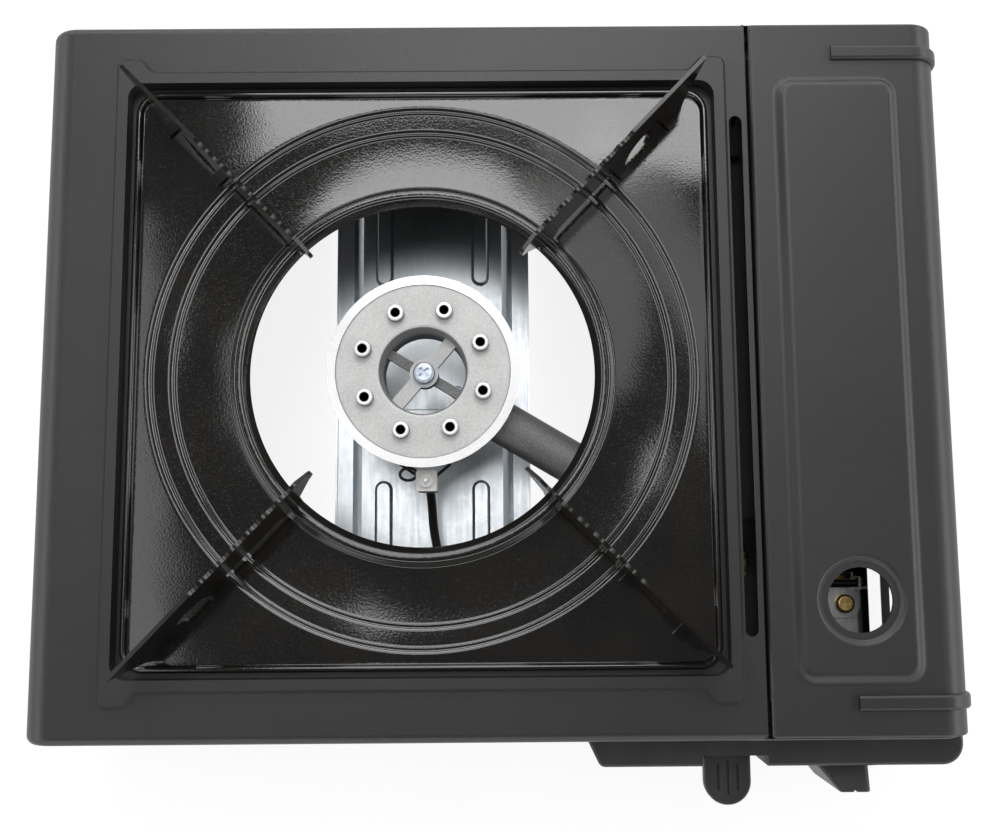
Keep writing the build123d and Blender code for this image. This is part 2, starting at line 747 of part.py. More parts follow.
# Regulator, its bracket and the inlet
tray_floor = floor_top + sheet
bracket_plate = 1.0
inlet_outer = 8.0
bracket_back = inlet_plane - 3.0
bracket_top_z = cartridge_z + 15.0
reg_left = cartridge_x - regulator_left_reach
reg_right = cartridge_x + regulator_right_reach
bracket_edge = cartridge_x + inlet_outer + 1.4
reg_rear = bracket_back
ear_width = 18.2
ear_middle = cartridge_x - 3.0
reg_front = reg_rear - regulator_length
reg_top = bracket_top_z - bracket_plate
reg_low = reg_top - regulator_height
nozzle_seat_radius = 5.2
seal_radius = 4.2
inlet_depth = 7.0
guide_pin_radius = 1.6
guide_pin_y = inlet_plane - 0.6
guide_pin_z = bracket_top_z + 3.0
top_screw_y = bracket_back - 5.5
with BuildPart() as regulator_bracket:
    block(reg_left - 3, bracket_edge, bracket_back, bracket_back + bracket_plate, tray_floor, bracket_top_z)
    block(reg_left - 3, bracket_edge, bracket_back, inlet_plane + 8, tray_floor, tray_floor + bracket_plate)
    with BuildSketch(Plane.XY.offset(reg_top)):
        with Locations((ear_middle, bracket_back - 4)):
            RectangleRounded(ear_width, 14, 5)
        with Locations((ear_middle, bracket_back)):
            Rectangle(ear_width, 2)
    extrude(amount=bracket_plate)
    for ear_x in (cartridge_x - 8.0, cartridge_x + 4.0):
        block(
            ear_x, ear_x + bracket_plate, bracket_back, guide_pin_y + guide_pin_radius + 1.0,
            bracket_top_z - 4, guide_pin_z + guide_pin_radius + 1.0,
        )
        rod(
            (ear_x - 1, guide_pin_y, guide_pin_z), (ear_x + 2, guide_pin_y, guide_pin_z), guide_pin_radius,
            Mode.SUBTRACT,
        )
    rod(
        (cartridge_x, bracket_back - 1, cartridge_z), (cartridge_x, bracket_back + 3, cartridge_z), inlet_outer,
        Mode.SUBTRACT,
    )
    with Locations((cartridge_x, top_screw_y, bracket_top_z)):
        Cylinder(screw_radius, 6, mode=Mode.SUBTRACT)
write(regulator_bracket.part, "regulator_bracket")

with BuildPart() as guide_pin:
    rod((cartridge_x - 9.5, guide_pin_y, guide_pin_z), (cartridge_x + 6.5, guide_pin_y, guide_pin_z), guide_pin_radius)
write(guide_pin.part, "guide_pin")

spindle_socket = 8.0
with BuildPart() as regulator_body:
    block(reg_left, reg_right, reg_front, reg_rear, reg_low, reg_top)
    fillet(regulator_body.edges().filter_by(Axis.Y), 3)
    rod((knob_x, reg_front, knob_z), (knob_x, reg_front - 6, knob_z), 8.0)
    rod(
        (knob_x, reg_front + spindle_socket - 6, knob_z), (knob_x, reg_front - 7, knob_z),
        spindle_radius + running_fit, Mode.SUBTRACT,
    )
    with Locations((cartridge_x, top_screw_y, reg_top)):
        Cylinder(screw_radius, 12, mode=Mode.SUBTRACT)
    rod(
        (cartridge_x, reg_rear - 4, cartridge_z), (cartridge_x, reg_rear + 1, cartridge_z), inlet_outer - 2,
        Mode.SUBTRACT,
    )
write(regulator_body.part, "regulator_body")

cover_radius = 14.5
cover_height = 9.0
cover_y = (reg_front + reg_rear) / 2
with BuildPart() as regulator_cover:
    with Locations((cartridge_x, cover_y, reg_low - cover_height / 2)):
        Cylinder(cover_radius, cover_height)
    fillet(regulator_cover.faces().sort_by(Axis.Z)[0].edges(), 2.5)
write(regulator_cover.part, "regulator_cover")

seal_back = inlet_plane + 3 - inlet_depth
seal_front = seal_back + 1.5
with BuildPart() as inlet_nipple:
    rod((cartridge_x, bracket_back, cartridge_z), (cartridge_x, inlet_plane + 3, cartridge_z), inlet_outer)
    rod((cartridge_x, bracket_back - 3.5, cartridge_z), (cartridge_x, bracket_back, cartridge_z), inlet_outer - 2)
    rod(
        (cartridge_x, seal_front, cartridge_z), (cartridge_x, inlet_plane + 4, cartridge_z), nozzle_seat_radius,
        Mode.SUBTRACT,
    )
    rod((cartridge_x, seal_back, cartridge_z), (cartridge_x, inlet_plane, cartridge_z), seal_radius, Mode.SUBTRACT)
    rod((cartridge_x, bracket_back - 5, cartridge_z), (cartridge_x, inlet_plane, cartridge_z), 1.5, Mode.SUBTRACT)
write(inlet_nipple.part, "inlet_nipple")

with BuildPart() as inlet_seal:
    rod((cartridge_x, seal_back, cartridge_z), (cartridge_x, seal_front, cartridge_z), seal_radius)
    rod((cartridge_x, seal_back - 1, cartridge_z), (cartridge_x, seal_front + 1, cartridge_z), 2.0, Mode.SUBTRACT)
write(inlet_seal.part, "inlet_seal")

regulator_screw = cross_screw((cartridge_x, top_screw_y, bracket_top_z), (0, 0, -1), 6.0, 3.6, screw_radius, 2.4)
write(regulator_screw, "regulator_screw")

# Gas pipe and injector
pipe_radius = 2.5
pipe_bend = 5.2
pipe_drop = 16.0
injector_radius = 4.0
jet_middle = along_tube(tube_run + 13.0)
pipe_y = reg_front + 9.0
pipe_z = tube_axis_height - pipe_drop
with BuildPart() as injector_jet:
    rod(along_tube(tube_run + 17.0), along_tube(tube_run + 6.0), injector_radius)
    rod(along_tube(tube_run + 6.0), along_tube(tube_run - 2.0), injector_radius - 1.5)
    rod(along_tube(tube_run + 2.0), along_tube(tube_run - 3.0), 0.6, Mode.SUBTRACT)
write(injector_jet.part, "injector_jet")

with BuildPart() as gas_pipe:
    with BuildLine():
        FilletPolyline(
            jet_middle,
            (jet_middle[0], jet_middle[1], pipe_z),
            (jet_middle[0], pipe_y, pipe_z),
            (reg_left, pipe_y, pipe_z),
            radius=pipe_bend,
        )
    with BuildSketch(Plane(origin=jet_middle, z_dir=(0, 0, -1))):
        Circle(pipe_radius)
    sweep()
    add(injector_jet.part, mode=Mode.SUBTRACT)
write(gas_pipe.part, "gas_pipe")

# Spark block, clip and lead
ceramic_x = burner_x + ceramic_shift
ceramic_y = burner_y - ceramic_from_burner
ceramic_top = burner_top - ceramic_top_below
ceramic_bottom = ceramic_top - ceramic_height
half_block = ceramic_side / 2
clip_wire = 0.6
clip_z = ceramic_top - 5.0
clip_front = ceramic_y - half_block + clip_wire
clip_side = half_block - clip_wire
with BuildPart() as igniter_ceramic:
    block(
        ceramic_x - half_block, ceramic_x + half_block, ceramic_y - half_block, ceramic_y + half_block,
        ceramic_bottom, ceramic_top,
    )
    fillet(igniter_ceramic.edges().filter_by(Axis.Z), 0.8)
    groove_low = clip_z - clip_wire - running_fit
    groove_high = clip_z + clip_wire + running_fit
    groove_in = half_block - 2 * clip_wire - running_fit
    for side in (-1, 1):
        inner = ceramic_x + side * groove_in
        outer = ceramic_x + side * (half_block + 1)
        block(
            min(inner, outer), max(inner, outer), ceramic_y - half_block - 1, ceramic_y + half_block + 1, groove_low,
            groove_high, Mode.SUBTRACT,
        )
    block(
        ceramic_x - half_block - 1, ceramic_x + half_block + 1, ceramic_y - half_block - 1, ceramic_y - groove_in,
        groove_low, groove_high, Mode.SUBTRACT,
    )
    rod((ceramic_x, ceramic_y, ceramic_top), (ceramic_x, ceramic_y, ceramic_top + 1.6), 2.6)
    rod((ceramic_x, ceramic_y, ceramic_top - 6), (ceramic_x, ceramic_y, ceramic_top + 2), 0.7, Mode.SUBTRACT)
write(igniter_ceramic.part, "igniter_ceramic")

with BuildPart() as igniter_electrode:
    rod((ceramic_x, ceramic_y, ceramic_top - 6), (ceramic_x, ceramic_y, ceramic_top + 4.2), 0.7)
write(igniter_electrode.part, "igniter_electrode")

clip_angle = radians(16)
clip_reach = burner_radius - 1.0
clip_route = [
    (burner_x - clip_reach * sin(clip_angle), burner_y - clip_reach * cos(clip_angle), clip_z),
    (ceramic_x - clip_side, ceramic_y + 2, clip_z),
    (ceramic_x - clip_side, clip_front, clip_z),
    (ceramic_x + clip_side, clip_front, clip_z),
    (ceramic_x + clip_side, ceramic_y + 2, clip_z),
    (burner_x + clip_reach * sin(clip_angle), burner_y - clip_reach * cos(clip_angle), clip_z),
]
with BuildPart() as igniter_clip:
    with BuildLine():
        FilletPolyline(*clip_route, radius=[1.0, 0.8, 0.8, 1.0])
    with BuildSketch(Plane(origin=clip_route[0], z_dir=Vector(*clip_route[1]) - Vector(*clip_route[0]))):
        Circle(clip_wire)
    sweep()
    add(burner_body.part, mode=Mode.SUBTRACT)
    add(igniter_ceramic.part, mode=Mode.SUBTRACT)
write(igniter_clip.part, "igniter_clip")

piezo_x = reg_left - 9.0
piezo_half = 6.0
piezo_low = 34.0
piezo_front = front + sheet
piezo_rear = piezo_front + 16.0
lead_end_y = (piezo_front + piezo_rear) / 2
lead_route = [
    (ceramic_x, ceramic_y, ceramic_bottom),
    (ceramic_x + 0.1, ceramic_y - 2, ceramic_bottom - 16),
    (ceramic_x + 0.9, ceramic_y - 24, ceramic_bottom - 25),
    (ceramic_x + 9.3, ceramic_y - 49, ceramic_bottom - 28),
    (ceramic_x + 41.3, front + 28.0, ceramic_bottom - 31),
    (piezo_x - 48.0, front + 20.0, piezo_low - 17.0),
    (piezo_x - 28, lead_end_y + 2.2, piezo_low - 20.0),
    (piezo_x - 9, lead_end_y, piezo_low - 19.5),
    (piezo_x - 1, lead_end_y, piezo_low - 13.0),
    (piezo_x, lead_end_y, piezo_low),
]


def route_radii(points: list) -> list:
    """Largest arc at each corner of a route that its two runs leave room for."""
    radii = []
    for before, at, after in zip(points, points[1:], points[2:]):
        arriving = Vector(*at) - Vector(*before)
        leaving = Vector(*after) - Vector(*at)
        turn = radians(arriving.get_angle(leaving))
        radii.append(0.45 * min(arriving.length, leaving.length) * cos(turn / 2) / sin(turn / 2))
    return radii


lead_radii = route_radii(lead_route)
with BuildPart() as ignition_lead:
    with BuildLine() as lead_line:
        FilletPolyline(*lead_route, radius=lead_radii)
    with BuildSketch(Plane(origin=lead_route[0], z_dir=(Vector(*lead_route[1]) - Vector(*lead_route[0])).normalized())):
        Circle(lead_radius)
    sweep()
    block(
        ceramic_x - 5, ceramic_x + 5, ceramic_y - 5, ceramic_y + 5, ceramic_bottom, ceramic_top, Mode.SUBTRACT
    )
    block(
        piezo_x - 5, piezo_x + 5, lead_end_y - 5, lead_end_y + 5, piezo_low, piezo_low + 9, Mode.SUBTRACT
    )
lead_length = sum(edge.length for edge in lead_line.edges())
print("lead radii", [round(value, 1) for value in lead_radii], "length", round(lead_length, 1))
print("lead volume", round(ignition_lead.part.volume), "section x length", round(3.14159 * lead_radius**2 * lead_length))
write(ignition_lead.part, "ignition_lead")

with BuildPart() as piezo_igniter:
    block(piezo_x - piezo_half, piezo_x + piezo_half, piezo_front, piezo_rear, piezo_low, piezo_low + 14)
    fillet(piezo_igniter.edges().filter_by(Axis.Y), 1.5)
    block(piezo_x + piezo_half, knob_x - 8.5, piezo_front + 4, piezo_front + 9, piezo_low + 5, piezo_low + 11)
write(piezo_igniter.part, "piezo_igniter")


def panel_outline(inset: float, back: float) -> Sketch:
    """Plan of the front panel, drawn in by inset, with a slanted left end and a rounded right end."""
    with BuildSketch() as outline:
        with BuildLine():
            Polyline(
                (panel_left + inset, back),
                (panel_left + panel_slant + inset, panel_front + inset),
                (panel_right - inset, panel_front + inset),
                (panel_right - inset, back),
                close=True,
            )
        make_face()
        fillet(outline.vertices().group_by(Axis.Y)[0].sort_by(Axis.X)[-1], panel_corner - inset)
        fillet(outline.vertices().group_by(Axis.Y)[0].sort_by(Axis.X)[0], panel_wall + 1 - inset * 0.8)
    return outline.sketch


# Front panel
recess_left = lever_left - lever_recess_margin
recess_right = lever_left + lever_width + lever_recess_margin + 1.5
with BuildPart() as front_panel:
    with BuildSketch(Plane.XY.offset(panel_bottom)):
        add(panel_outline(0, front))
    extrude(amount=panel_top - panel_bottom)
    fillet(front_panel.faces().sort_by(Axis.Z)[-1].edges().filter_by(lambda edge: edge.center().Y < front - 0.1), panel_edge)
    with BuildSketch(Plane.XY.offset(panel_bottom + panel_wall)):
        add(panel_outline(panel_wall, front + 1))
        with Locations(((recess_left + recess_right) / 2, panel_front)):
            Rectangle(
                recess_right - recess_left + 2 * panel_wall, 2 * (lever_recess_depth + panel_wall), mode=Mode.SUBTRACT
            )
    extrude(amount=panel_top - panel_bottom - 2 * panel_wall, mode=Mode.SUBTRACT)
    block(
        recess_left, recess_right, panel_front - 1, panel_front + lever_recess_depth, lever_window_low - 6,
        panel_top + 1, Mode.SUBTRACT,
    )
    block(
        lever_left - 1, lever_left + lever_width + 1, panel_front - 1, front + 1, lever_window_low, lever_window_high,
        Mode.SUBTRACT,
    )
    for x, z in panel_screws_at:
        rod((x, panel_front + 1, z), (x, front, z), 3.2)
        rod((x, panel_front + 3, z), (x, front + 1, z), screw_radius, Mode.SUBTRACT)
    pocket = knob_radius + knob_pocket_gap
    pocket_floor = panel_front + knob_pocket_depth
    rod((knob_x, panel_front, knob_z), (knob_x, pocket_floor + panel_wall, knob_z), pocket + panel_wall)
    rod((knob_x, panel_front - 1, knob_z), (knob_x, pocket_floor, knob_z), pocket, Mode.SUBTRACT)
    rod((knob_x, panel_front - 1, knob_z), (knob_x, front + 1, knob_z), spindle_radius + 4, Mode.SUBTRACT)
write(front_panel.part, "front_panel")

# Knob on its spindle
knob_back = panel_front + knob_pocket_depth - knob_gap
knob_plane = Plane(origin=(knob_x, knob_back, knob_z), x_dir=(1, 0, 0), z_dir=(0, -1, 0))
hub_outer = spindle_radius + 3.0
knob_front = knob_disc + knob_grip_height
with BuildPart() as control_knob:
    with BuildSketch(knob_plane):
        Circle(knob_radius)
    extrude(amount=knob_disc, taper=3)
    fillet(control_knob.faces().sort_by(Axis.Y)[0].edges(), 1.0)
    with BuildSketch(knob_plane.offset(knob_disc - 0.5)):
        with Locations((knob_grip_right - knob_grip_base / 2, 0)):
            RectangleRounded(knob_grip_base, knob_grip_length, 3)
    with BuildSketch(knob_plane.offset(knob_front)):
        with Locations((knob_grip_right - 0.4 - knob_grip_top / 2, 0)):
            RectangleRounded(knob_grip_top, knob_grip_length + 4, 1.5)
    loft()
    fillet(control_knob.faces().sort_by(Axis.Y)[0].edges(), 0.7)
    with BuildSketch(knob_plane.offset(knob_front)):
        with Locations((knob_grip_right - 0.4 - knob_grip_top / 2, knob_grip_length / 2 - 3)):
            Rectangle(1.4, 12)
    extrude(amount=-0.8, mode=Mode.SUBTRACT)
    rod((knob_x, knob_back, knob_z), (knob_x, knob_back + 5, knob_z), hub_outer)
    rod(
        (knob_x, knob_back - 3, knob_z), (knob_x, knob_back + 6, knob_z), spindle_radius + running_fit, Mode.SUBTRACT
    )
write(control_knob.part, "control_knob")

with BuildPart() as valve_spindle:
    rod((knob_x, knob_back - 2.8, knob_z), (knob_x, reg_front - 6 + spindle_socket - 2, knob_z), spindle_radius)
    rod((knob_x, reg_front - 8, knob_z), (knob_x, reg_front - 6.4, knob_z), spindle_radius + 2.5)
write(valve_spindle.part, "valve_spindle")

# Lock lever: moulded tab on a steel arm, with bracket, pin, rod and cartridge pusher
tab_root = front + 9.0
tab_middle = lever_left + lever_width / 2
with BuildPart() as lock_lever_tab:
    with BuildSketch(Plane.XY.offset(lever_tab_z)):
        with Locations((tab_middle, (tab_root + lever_tip + lever_width / 2) / 2)):
            Rectangle(lever_width, tab_root - lever_tip - lever_width / 2)
        with Locations((tab_middle, lever_tip + lever_width / 2)):
            Circle(lever_width / 2)
    extrude(amount=lever_tab_thickness)
    fillet(lock_lever_tab.faces().sort_by(Axis.Z)[-1].edges().filter_by(lambda edge: edge.center().Y < tab_root - 1), 1.0)
    with BuildSketch(Plane.XY.offset(lever_tab_z + lever_tab_thickness)):
        for offset, length in ((-groove_pitch, 10.0), (0.0, 12.5), (groove_pitch, 10.0)):
            with Locations((tab_middle + offset, lever_tip + 4.0 + length / 2 + abs(offset) * 0.4)):
                SlotOverall(length, groove_width, rotation=90)
    extrude(amount=-groove_depth, mode=Mode.SUBTRACT)
write(lock_lever_tab.part, "lock_lever_tab")

arm_plane = Plane(origin=(lever_arm_x, lever_pivot_y, lever_pivot_z), x_dir=(0, 1, 0), z_dir=(1, 0, 0))
arm_reach = lever_pivot_y - lever_tip - lever_width
slot_play = 0.8
slot_rise = 0.0907 * lever_arm_length
with BuildPart() as lever_arm:
    with BuildSketch(arm_plane):
        Circle(6.0)
        with BuildLine():
            Polyline(
                (-5.0, 4.0),
                (-arm_reach, lever_tab_z - lever_pivot_z - 4.0),
                (-arm_reach, lever_tab_z - lever_pivot_z),
                (-4.4, lever_tab_z - lever_pivot_z),
                (-4.4, lever_arm_length + 6.0),
                (-2.0, lever_arm_length + 8.0),
                (2.6, lever_arm_length + 8.0),
                (5.0, lever_arm_length + 6.0),
                (5.0, 0),
                close=True,
            )
        make_face()
        Circle(lever_pin_radius + running_fit, mode=Mode.SUBTRACT)
        slot_half = rod_radius + slot_play
        with Locations((0.0136 * lever_arm_length, lever_arm_length + slot_rise / 2)):
            SlotOverall(2 * slot_half + slot_rise + 0.6, 2 * slot_half, rotation=90, mode=Mode.SUBTRACT)
    extrude(amount=lever_arm_sheet)
write(lever_arm.part, "lever_arm")

bracket_left = lever_arm_x - 4.0
bracket_right = lever_arm_x + lever_arm_sheet + 4.0
cheek = 1.2
cheek_low = lever_pivot_z - 9.0
with BuildPart() as lever_bracket:
    for cheek_x in (bracket_left - cheek, bracket_right):
        block(cheek_x, cheek_x + cheek, front + sheet, lever_pivot_y + 6, cheek_low, lever_pivot_z + 6)
    block(bracket_left - cheek, bracket_right + cheek, front + sheet, lever_pivot_y + 6, cheek_low - cheek, cheek_low)
    block(bracket_left - 12, bracket_left, front + sheet, front + sheet + cheek, cheek_low - cheek, lever_pivot_z + 6)
    block(lever_left - 1, lever_left + lever_width + 1, front, lever_pivot_y - 8, lever_window_low + 6, 90, Mode.SUBTRACT)
    rod(
        (bracket_left - 3, lever_pivot_y, lever_pivot_z), (bracket_right + 3, lever_pivot_y, lever_pivot_z),
        lever_pin_radius, Mode.SUBTRACT,
    )
write(lever_bracket.part, "lever_bracket")

with BuildPart() as lever_pin:
    rod(
        (bracket_left - cheek - 0.6, lever_pivot_y, lever_pivot_z),
        (bracket_right + cheek + 0.6, lever_pivot_y, lever_pivot_z), lever_pin_radius,
    )
write(lever_pin.part, "lever_pin")

with BuildPart() as pull_rod:
    with BuildLine():
        FilletPolyline(
            (lever_arm_x - 1.5, lever_pivot_y, rod_z),
            (rod_x, lever_pivot_y, rod_z),
            (rod_x, pusher_face + 2.5, rod_z),
            radius=2.0,
        )
    with BuildSketch(Plane(origin=(lever_arm_x - 1.5, lever_pivot_y, rod_z), z_dir=(1, 0, 0))):
        Circle(rod_radius)
    sweep()
write(pull_rod.part, "pull_rod")

pusher_sheet = 1.2
with BuildPart() as cartridge_pusher:
    block(
        cartridge_x - 24, cartridge_x + 21, pusher_face, pusher_face + pusher_sheet, tray_floor + 0.3, cartridge_z + 22
    )
    block(
        rod_x - 3.5, cartridge_x, pusher_face, pusher_face + pusher_sheet, rod_z - pusher_arm_half,
        rod_z + pusher_arm_half,
    )
    block(cartridge_x - 24, cartridge_x, pusher_face, pusher_face + pusher_sheet, cartridge_z + 15, rod_z + pusher_arm_half)
    block(
        cartridge_x - 24, cartridge_x + 21, pusher_face, pusher_face + 9, tray_floor + 0.3,
        tray_floor + 0.3 + pusher_sheet,
    )
    rod((rod_x, pusher_face - 1, rod_z), (rod_x, pusher_face + 3, rod_z), rod_radius, Mode.SUBTRACT)
write(cartridge_pusher.part, "cartridge_pusher")


def lid_block(inset: float, end_inset: float) -> Part:
    """Form of the lid drawn in by inset from its skin and by end_inset at its ends."""
    with BuildPart() as form:
        block(
            lid_left + inset, lid_right - inset, lid_front + end_inset, lid_rear - end_inset,
            lid_wall_bottom - 5 * (inset > 0), lid_top - inset,
        )
        fillet(form.edges().filter_by(Axis.Y).group_by(Axis.Z)[-1].sort_by(Axis.X)[-1], lid_bend - inset)
    return form.part


# Lid
label_front = front + label_front_inset
label_rear = rear - label_rear_inset
label_at = (lid_left + label_left_inset + label_width / 2, (label_front + label_rear) / 2)
label_taper = degrees(atan2(label_slope, label_rise))
flange_low = hinge_z - hinge_flange


def lid_rib(grow: float, y: float) -> Part:
    """Rib that runs along the top and round the bend, standing off the lid's skin by grow."""
    with BuildPart() as rib:
        block(
            lid_left + rib_start, lid_right + grow, y - rib_width / 2, y + rib_width / 2,
            lid_wall_bottom + 14, lid_top + grow,
        )
        fillet(rib.edges().filter_by(Axis.Y).group_by(Axis.Z)[-1].sort_by(Axis.X)[-1], lid_bend + grow)
        crest = rib.faces().filter_by(Axis.Y)
        rims = [edge for face in crest for edge in face.edges() if edge.center().Z > lid_wall_bottom + 15]
        fillet([edge for edge in rims if edge.center().X > lid_left + rib_start + 1], grow * 0.8)
    return rib.part


lid_ribs = [lid_rib(rib_height, front + rib_front_inset), lid_rib(rib_height, rear - rib_rear_inset)]
lid_skin = lid_block(0, 0)
lid_inside = lid_block(sheet, sheet)
lid_through = lid_block(lid_hem, -1)
with BuildPart() as lid_shell:
    add(lid_skin)
    skin_rims = [
        edge for face in lid_shell.faces().filter_by(Axis.Y) for edge in face.edges()
        if edge.center().Z > lid_wall_bottom + 0.1 and edge.center().X > lid_left + 0.1
    ]
    fillet(skin_rims, lid_edge)
    seam_edge = lid_shell.edges().filter_by(Axis.Y).group_by(Axis.Z)[-1].sort_by(Axis.X)[0]
    fillet(seam_edge, lid_edge + 0.3)
    with BuildSketch(Plane.XY.offset(lid_top - 0.01)):
        with Locations(label_at):
            RectangleRounded(label_width, label_rear - label_front, label_corner)
    extrude(amount=label_rise, taper=label_taper)
    fillet(lid_shell.faces().filter_by(Axis.Z).sort_by(Axis.Z)[-1].edges(), label_round)
    label_foot = [
        edge for edge in lid_shell.edges().filter_by_position(Axis.Z, lid_top - 0.005, lid_top + 0.005)
        if abs(edge.center().X - label_at[0]) < label_width / 2 + 0.5
        and abs(edge.center().Y - label_at[1]) < (label_rear - label_front) / 2 + 0.5
    ]
    fillet(label_foot, label_round)
    for rib_part in lid_ribs:
        add(rib_part)
    with BuildSketch(Plane.XY.offset(lid_top + label_rise)):
        with Locations((finger_x, finger_y)):
            Circle(finger_dish_dia / 2)
    extrude(amount=-finger_dish_depth, taper=50, mode=Mode.SUBTRACT)
    dish_rim = lid_shell.edges().filter_by(GeomType.CIRCLE).filter_by_position(
        Axis.Z, lid_top + label_rise - 0.02, lid_top + label_rise + 0.005,
    )
    fillet([edge for edge in dish_rim if abs(edge.radius - finger_dish_dia / 2) < 0.1], label_round / 2)
    add(lid_inside, mode=Mode.SUBTRACT)
    add(lid_through, mode=Mode.SUBTRACT)
    with BuildSketch(Plane.XY.offset(lid_top - sheet - 0.01)):
        with Locations(label_at):
            RectangleRounded(label_width - sheet, label_rear - label_front - sheet, label_corner - sheet / 2)
            with Locations((finger_x - label_at[0], finger_y - label_at[1])):
                Circle(finger_dish_dia / 2 + 1.5, mode=Mode.SUBTRACT)
    extrude(amount=label_rise, taper=label_taper, mode=Mode.SUBTRACT)
    rod((finger_x, finger_y, lid_top - 10), (finger_x, finger_y, lid_top + 10), finger_hole_dia / 2, Mode.SUBTRACT)
    block(lid_left - 1, lid_left + lid_hem + 1, lid_front - 1, lid_rear + 1, 0, flange_low, Mode.SUBTRACT)
    for y0, y1 in ((lid_front - 1, ear_front), (ear_rear, lid_rear + 1)):
        notch_right = hinge_x + hinge_lug_radius + hinge_notch_clearance
        block(lid_left - 1, notch_right, y0, y1, 0, lid_top - sheet, Mode.SUBTRACT)
    for ear_y in (ear_front, ear_rear - hinge_plate):
        block(lid_left, hinge_x + 2.2, ear_y, ear_y + hinge_plate, flange_low, lid_top - sheet)
        rod((hinge_x, ear_y - 1, hinge_z), (hinge_x, ear_y + 3, hinge_z), hinge_pin_radius + running_fit, Mode.SUBTRACT)
write(lid_shell.part, "lid_shell")

with BuildPart() as lid_hinge_pins:
    rod((hinge_x, lug_front - 0.8, hinge_z), (hinge_x, ear_front + hinge_plate + 1.5, hinge_z), hinge_pin_radius)
    rod((hinge_x, lug_rear + 0.8, hinge_z), (hinge_x, ear_rear - hinge_plate - 1.5, hinge_z), hinge_pin_radius)
write(lid_hinge_pins.part, "lid_hinge_pins")

# Feet and fasteners
foot_inset = 9.0
feet_at = [
    (x, y) for x in (left + foot_inset, bay_right - edge_radius - foot_inset) for y in (front + foot_inset, rear - foot_inset)
]
with BuildPart() as rubber_feet:
    for x, y in feet_at:
        with BuildSketch(Plane.XY.offset(foot_height)):
            with Locations((x, y)):
                Circle(foot_radius)
        extrude(amount=-foot_height, taper=8)
write(rubber_feet.part, "rubber_feet")


def screw_set(places: list, run: tuple, length: float, head: float = screw_head_radius) -> Compound:
    """Like screws at several places, as one group of separate solids."""
    return Compound(
        children=[
            cross_screw(place, run, length, head, screw_radius, screw_head_height) for place in places
        ]
    )


bridge_seat = floor_top + bridge_sheet
write(screw_set([(x, y, bridge_seat) for x, y in bridge_screws_at], (0, 0, -1), 3.0, 2.4), "bridge_screws")
write(screw_set([(x, y, tray_floor) for x, y in tray_screws_at], (0, 0, -1), 3.0), "tray_screws")
write(screw_set([(x, front + sheet, z) for x, z in panel_screws_at], (0, -1, 0), 6.0), "panel_screws")
bracket_seat = bridge_top + bracket_sheet
write(screw_set([(x, burner_y, bracket_seat) for x in bracket_screw_xs], (0, 0, -1), 3.0), "burner_bracket_screws")
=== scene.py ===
import logging
import math
from dataclasses import dataclass, field
from enum import Enum

import bmesh
import bpy
from mathutils import Matrix, Vector


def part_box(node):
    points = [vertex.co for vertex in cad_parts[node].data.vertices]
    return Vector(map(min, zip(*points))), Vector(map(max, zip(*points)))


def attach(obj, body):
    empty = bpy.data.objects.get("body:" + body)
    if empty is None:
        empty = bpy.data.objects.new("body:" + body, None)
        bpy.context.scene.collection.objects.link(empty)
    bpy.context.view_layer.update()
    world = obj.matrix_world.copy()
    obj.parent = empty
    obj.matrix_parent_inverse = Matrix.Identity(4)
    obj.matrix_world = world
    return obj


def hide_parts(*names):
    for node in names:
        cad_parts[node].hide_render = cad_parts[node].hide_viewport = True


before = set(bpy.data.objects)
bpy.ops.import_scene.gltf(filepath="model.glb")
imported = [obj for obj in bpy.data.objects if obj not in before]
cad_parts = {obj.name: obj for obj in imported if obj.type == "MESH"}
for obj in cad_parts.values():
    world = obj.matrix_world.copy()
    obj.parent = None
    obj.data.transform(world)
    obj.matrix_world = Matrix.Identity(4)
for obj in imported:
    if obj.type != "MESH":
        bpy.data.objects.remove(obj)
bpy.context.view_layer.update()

log = logging.getLogger("stove")

Colour = tuple[float, float, float]
Point = tuple[float, float, float]
Band = tuple[float, float]

# the colour sockets of a Mix node
MIX_FIRST = 6
MIX_SECOND = 7
MIX_RESULT = 2


def middle(node: str) -> tuple[float, float]:
    """The middle of a CAD node seen from above.

    Args:
        node: the node's name.

    Returns:
        Its x and y in metres.
    """
    low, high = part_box(node)
    return (low[0] + high[0]) / 2, (low[1] + high[1]) / 2


class Body(Enum):
    """The rigid bodies that pieces ride on."""

    BASE = "base"
    LID = "lid"
    PAN = "pan"
    KNOB = "knob"
    LEVER = "lever"
    PUSHER = "pusher"


